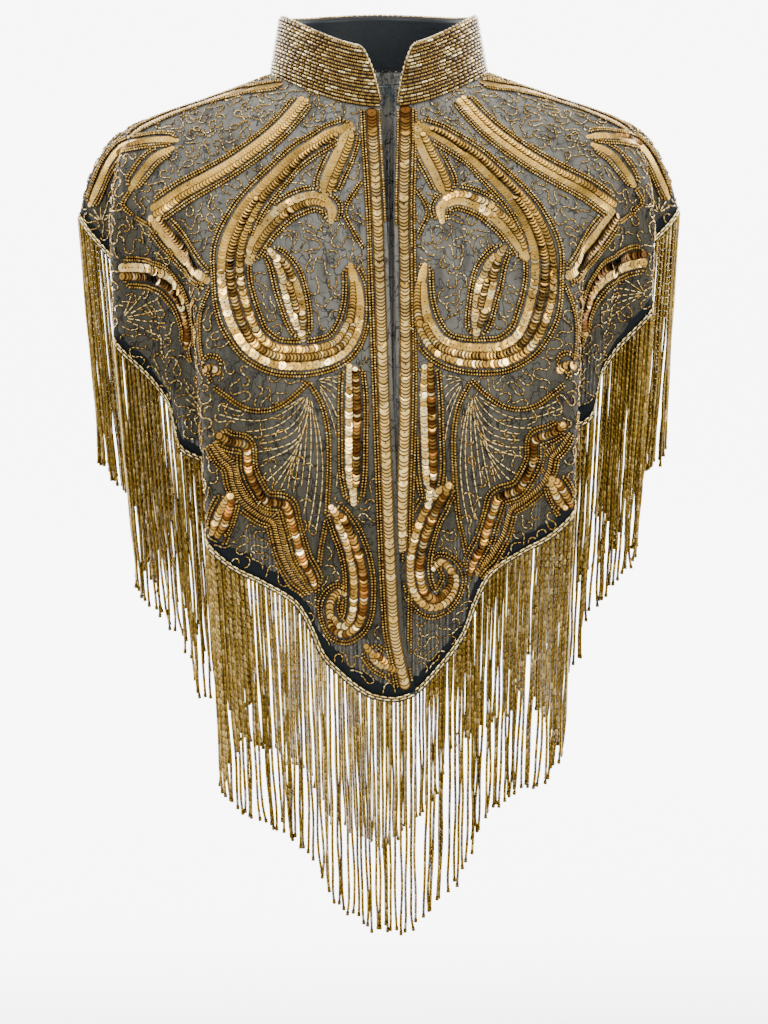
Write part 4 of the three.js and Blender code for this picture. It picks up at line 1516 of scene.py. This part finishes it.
def hem_line(name, from_edge=True):
    """Points along a panel's hem, with the normal and the direction away from the cloth."""
    panel = PANELS[name]
    if name == "back":
        angle = np.linspace(90, 270, 1800)
    elif name == "front_right":
        angle = np.linspace(-90, edge_angle(1, 1.0), 1000)
    else:
        angle = np.linspace(edge_angle(2, 1.0) if from_edge else LEFT_FRINGE_STARTS, 90, 1000)
    at = np.ones_like(angle)
    place = panel.point(angle, at)
    normal = panel.normal(angle, at)
    along = unit(np.gradient(place, axis=0))
    away = unit(np.cross(along, normal))
    return dict(place=place, normal=normal, away=away, run=running(place), plan=running(place[:, :2]))


def on_line(line, key, stops, value):
    """A value of the hem line at stops, counted along it (run) or as seen from above (plan)."""
    return points_at(stops, line[key], line[value])


class CAPE_OT_hem(bpy.types.Operator):
    """Make the double row of bugle beads along the hem"""
    bl_idname = "cape.hem"
    bl_label = "Hem edging"

    def execute(self, context):
        beads = context.scene.cape_beads
        rng = np.random.default_rng(31)
        gilt = gilt_material("hem_bugles", bead_tints(beads), (0.14, 0.3), coat=0.5)
        template = bead_template(bugle_shape)
        black = satin_material(context.scene.cape_net)
        for name in PANELS:
            line = hem_line(name)
            places, along, across, sizes = [], [], [], []
            for drop, lead in HEM_ROWS:
                stops = np.arange(lead, line["run"][-1] - 4.2, HEM_PITCH)
                start, end = (on_line(line, "run", stop, "place") + drop * on_line(line, "run", stop, "away")
                              for stop in (stops, stops + HEM_BEAD))
                normal = unit(on_line(line, "run", stops + 2.1, "normal"))
                ahead = unit(end - start)
                places.append((start + end) / 2 + normal * 0.85)
                along.append(ahead)
                across.append(unit(np.cross(normal, ahead)))
                sizes.append(np.tile((HEM_BEAD, HEM_BEAD_WIDTH, HEM_BEAD_WIDTH), (len(stops), 1)))
            places = np.concatenate(places)
            made = joined(f"hem_bugles_{name}", template, places, np.concatenate(along), np.concatenate(across),
                          np.concatenate(sizes), np.clip(rng.normal(0.8, 0.1, len(places)), 0, 1), gilt)
            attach(made, BODY)

            def tape(across, down, line=line):
                stop = across * line["run"][-1]
                edge, away, out = (on_line(line, "run", stop, value) for value in ("place", "away", "normal"))
                return edge + away * (down * TAPE_DEPTH)[:, None] + unit(out) * 0.05, np.zeros_like(down)
            band = thicken(piece(f"hem_tape_{name}", sheet_mesh(f"hem_tape_{name}", 300, 1, tape), black), 0.0005)
            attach(band, BODY)
        return {"FINISHED"}


class CAPE_OT_fringe(bpy.types.Operator):
    """Hang the strands of bugle beads from the hem"""
    bl_idname = "cape.fringe"
    bl_label = "Fringe"

    LEAN = (0.045, 0.065)         # how much the strands lean inwards, at the front and at the side
    BUNCHES = ((0.6, 13), (0.8, 29), (0.9, 67))     # drift and spacing of the bunches, in millimetres
    WIDE = 1.85
    DROP = (2.2, 2.4, 2.4)        # the round bead at a strand's end

    def execute(self, context):
        settings, beads = context.scene.cape_fringe, context.scene.cape_beads
        rng = np.random.default_rng(41)
        tints = (tuple(c * 0.4 for c in settings.gold), tuple(settings.gold), tuple(settings.pale))
        gilt = gilt_material("fringe_bugles", tints, (0.24, 0.4))
        template = bead_template(strand_bead_shape)
        for name in PANELS:
            line = hem_line(name, from_edge=False)
            count = max(1, round(line["plan"][-1] * MM / settings.spacing))
            stops = line["plan"][-1] * (np.arange(count) + 0.5) / count
            stops = stops + rng.normal(0, 0.25, count)
            roots = on_line(line, "plan", stops, "place") + on_line(line, "plan", stops, "away") * ROOT_DEPTH
            # Strands hang together in loose bunches towards their ends
            bunch = sum(size * np.sin(2 * math.pi * stops / wave + rng.uniform(0, 6.3))
                        for size, wave in self.BUNCHES)
            beside = unit(np.gradient(roots, axis=0) * (1, 1, 0)) * bunch[:, None]
            self.strands(rng, name, roots, beside, settings, beads, template, gilt)
        return {"FINISHED"}

    def strands(self, rng, name, roots, beside, settings, beads, template, gilt):
        parts = {"back": ((-1, "right"), (1, "left"))}.get(name, ((0, ""),))
        replaced = False
        for side, word in parts:
            chosen = np.arange(len(roots)) if side == 0 else np.nonzero(roots[:, 0] * side > 0)[0]
            places, along, sizes, tones = [], [], [], []
            for root, drift in zip(roots[chosen], beside[chosen]):
                flat = math.hypot(root[0], root[1])
                sideways = abs(root[0]) / flat
                lean = self.LEAN[0] + (self.LEAN[1] - self.LEAN[0]) * sideways
                drop = settings.drop / MM + settings.more / MM * sideways + rng.normal(0, 1.6)
                inward = -root[:2] / flat
                tip = root + np.array([*(inward * lean * drop + rng.normal(0, 0.7, 2)), -drop])
                fall = unit(tip - root)
                total = np.linalg.norm(tip - root)
                bead = beads.bugle / MM * rng.uniform(0.94, 1.04)
                first = bead * rng.uniform(0.3, 1.0)
                stops = np.concatenate([[0], np.arange(first, total - 3.0, bead + 0.02)])
                waves = rng.uniform(0, 6.3, 4)
                curl = rng.normal(0, 1.0, 2)

                def hang(run):
                    """The strand's line: a slight wave, a drift into its bunch and a curl at its end."""
                    share = run / total
                    late = np.clip((run - total + 16) / 16, 0, 1) ** 2
                    sway = [0.5 * share * np.sin(run / 17 + waves[k])
                            + 0.28 * share * np.sin(run / 7.5 + waves[k + 2]) + curl[k] * late for k in (0, 1)]
                    spot = root + fall * run[:, None] + drift * (share ** 1.3)[:, None]
                    return spot + np.stack([*sway, np.zeros_like(run)], -1)

                ends = hang(stops)
                long = np.linalg.norm(np.diff(ends, axis=0), axis=1)
                places.append((ends[:-1] + ends[1:]) / 2)
                along.append(unit(np.diff(ends, axis=0)))
                sizes.append(np.stack([long - 0.07, *[np.full(len(long), self.WIDE)] * 2], -1))
                # One bead in seven gets a paler tone as a painted glint
                glint = np.where(rng.random(len(long)) < 0.14, 0.32, 0)
                tones.append(np.clip(rng.normal(rng.normal(0.51, 0.08), 0.07, len(long)) + glint, 0, 1))
                # A small round bead turns each strand's end
                places.append(ends[-1:] + along[-1][-1:] * 1.0)
                along.append(along[-1][-1:])
                sizes.append(np.array([self.DROP]))
                tones.append(np.array([0.25]))
            places, along = np.concatenate(places), np.concatenate(along)
            across = unit(np.cross(along, places * (1, 1, 0)))
            label = f"fringe_{name}_beads" + (f"_{word}" if word else "")
            made = joined(label, template, places, along, across, np.concatenate(sizes), np.concatenate(tones), gilt)
            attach(made, BODY)
            if not replaced:
                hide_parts(f"fringe_{name}")
                replaced = True


# Hook and eye

class CAPE_OT_fastening(bpy.types.Operator):
    """Finish the hook and eye, and the thread that sews them on"""
    bl_idname = "cape.fastening"
    bl_label = "Hook and eye"

    LOOPS, ENDS = 12, 4

    def execute(self, context):
        wire = wire_material()
        for name in ("hook", "eye"):
            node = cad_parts[name]
            node.data.materials.clear()
            node.data.materials.append(wire)
        material, graph, shader = new_material("black_thread")
        twist = graph.noise(900.0, 1.0)
        graph.link(graph.mix(twist, (0.004, 0.009, 0.012), (0.016, 0.034, 0.042)), shader.inputs["Base Color"])
        shader.inputs["Roughness"].default_value = 0.8
        rng = np.random.default_rng(5)
        low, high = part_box("eye")
        curves = bpy.data.curves.new("thread", "CURVE")
        curves.dimensions = "3D"
        curves.bevel_depth = 0.0003
        curves.bevel_resolution = 1
        knot = Vector((0.0032, (low.y + high.y) / 2, low.z + 0.001))
        # A tangle of loops where the hook meets the eye, and loose ends that hang from it
        for turn in range(self.LOOPS + self.ENDS):
            spline = curves.splines.new("NURBS")
            spline.points.add(8 if turn < self.LOOPS else 4)
            wide, tall, tilt = rng.uniform(0.0008, 0.0024), rng.uniform(0.0015, 0.0036), rng.uniform(-0.7, 0.7)
            for k, point in enumerate(spline.points):
                if turn < self.LOOPS:
                    angle = 2 * math.pi * k / 8
                    across, rise = wide * math.cos(angle), tall * math.sin(angle)
                else:
                    across, rise = (turn - self.LOOPS - 1.5) * 0.0006 * k, tall * -0.8 * k
                spot = knot + Vector((across + tilt * rise + rng.normal(0, 0.0002), rng.normal(0, 0.0005), rise))
                point.co = (*spot, 1)
            spline.use_endpoint_u = True
        thing = bpy.data.objects.new("fastening_thread", curves)
        context.scene.collection.objects.link(thing)
        curves.materials.append(material)
        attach(thing, BODY)
        return {"FINISHED"}


class CAPE_PT_panel(bpy.types.Panel):
    bl_idname = "CAPE_PT_panel"
    bl_label = "Beaded cape"
    bl_space_type = "VIEW_3D"
    bl_region_type = "UI"
    bl_category = "Cape"

    def draw(self, context):
        for operator in OPERATORS:
            self.layout.operator(operator.bl_idname)
        for name, group in SETTINGS.items():
            box = self.layout.box()
            for prop in group.__annotations__:
                box.prop(getattr(context.scene, name), prop)


SETTINGS = {
    "cape_net": CapeNetSettings,
    "cape_beads": CapeBeadSettings,
    "cape_sequins": CapeSequinSettings,
    "cape_fringe": CapeFringeSettings,
    "cape_stage": CapeStageSettings,
}
OPERATORS = (CAPE_OT_stage, CAPE_OT_net, CAPE_OT_collar, CAPE_OT_ornament, CAPE_OT_lines,
             CAPE_OT_vermicelli, CAPE_OT_beads, CAPE_OT_hem, CAPE_OT_fringe, CAPE_OT_fastening)


def register():
    for cls in (*SETTINGS.values(), *OPERATORS, CAPE_PT_panel):
        bpy.utils.register_class(cls)
    for name, group in SETTINGS.items():
        setattr(bpy.types.Scene, name, PointerProperty(type=group))


def unregister():
    for name in SETTINGS:
        delattr(bpy.types.Scene, name)
    for cls in reversed((*SETTINGS.values(), *OPERATORS, CAPE_PT_panel)):
        bpy.utils.unregister_class(cls)


def main():
    register()
    for operator in OPERATORS:
        group, name = operator.bl_idname.split(".")
        getattr(getattr(bpy.ops, group), name)()
    bpy.context.view_layer.update()


if __name__ == "__main__":
    main()
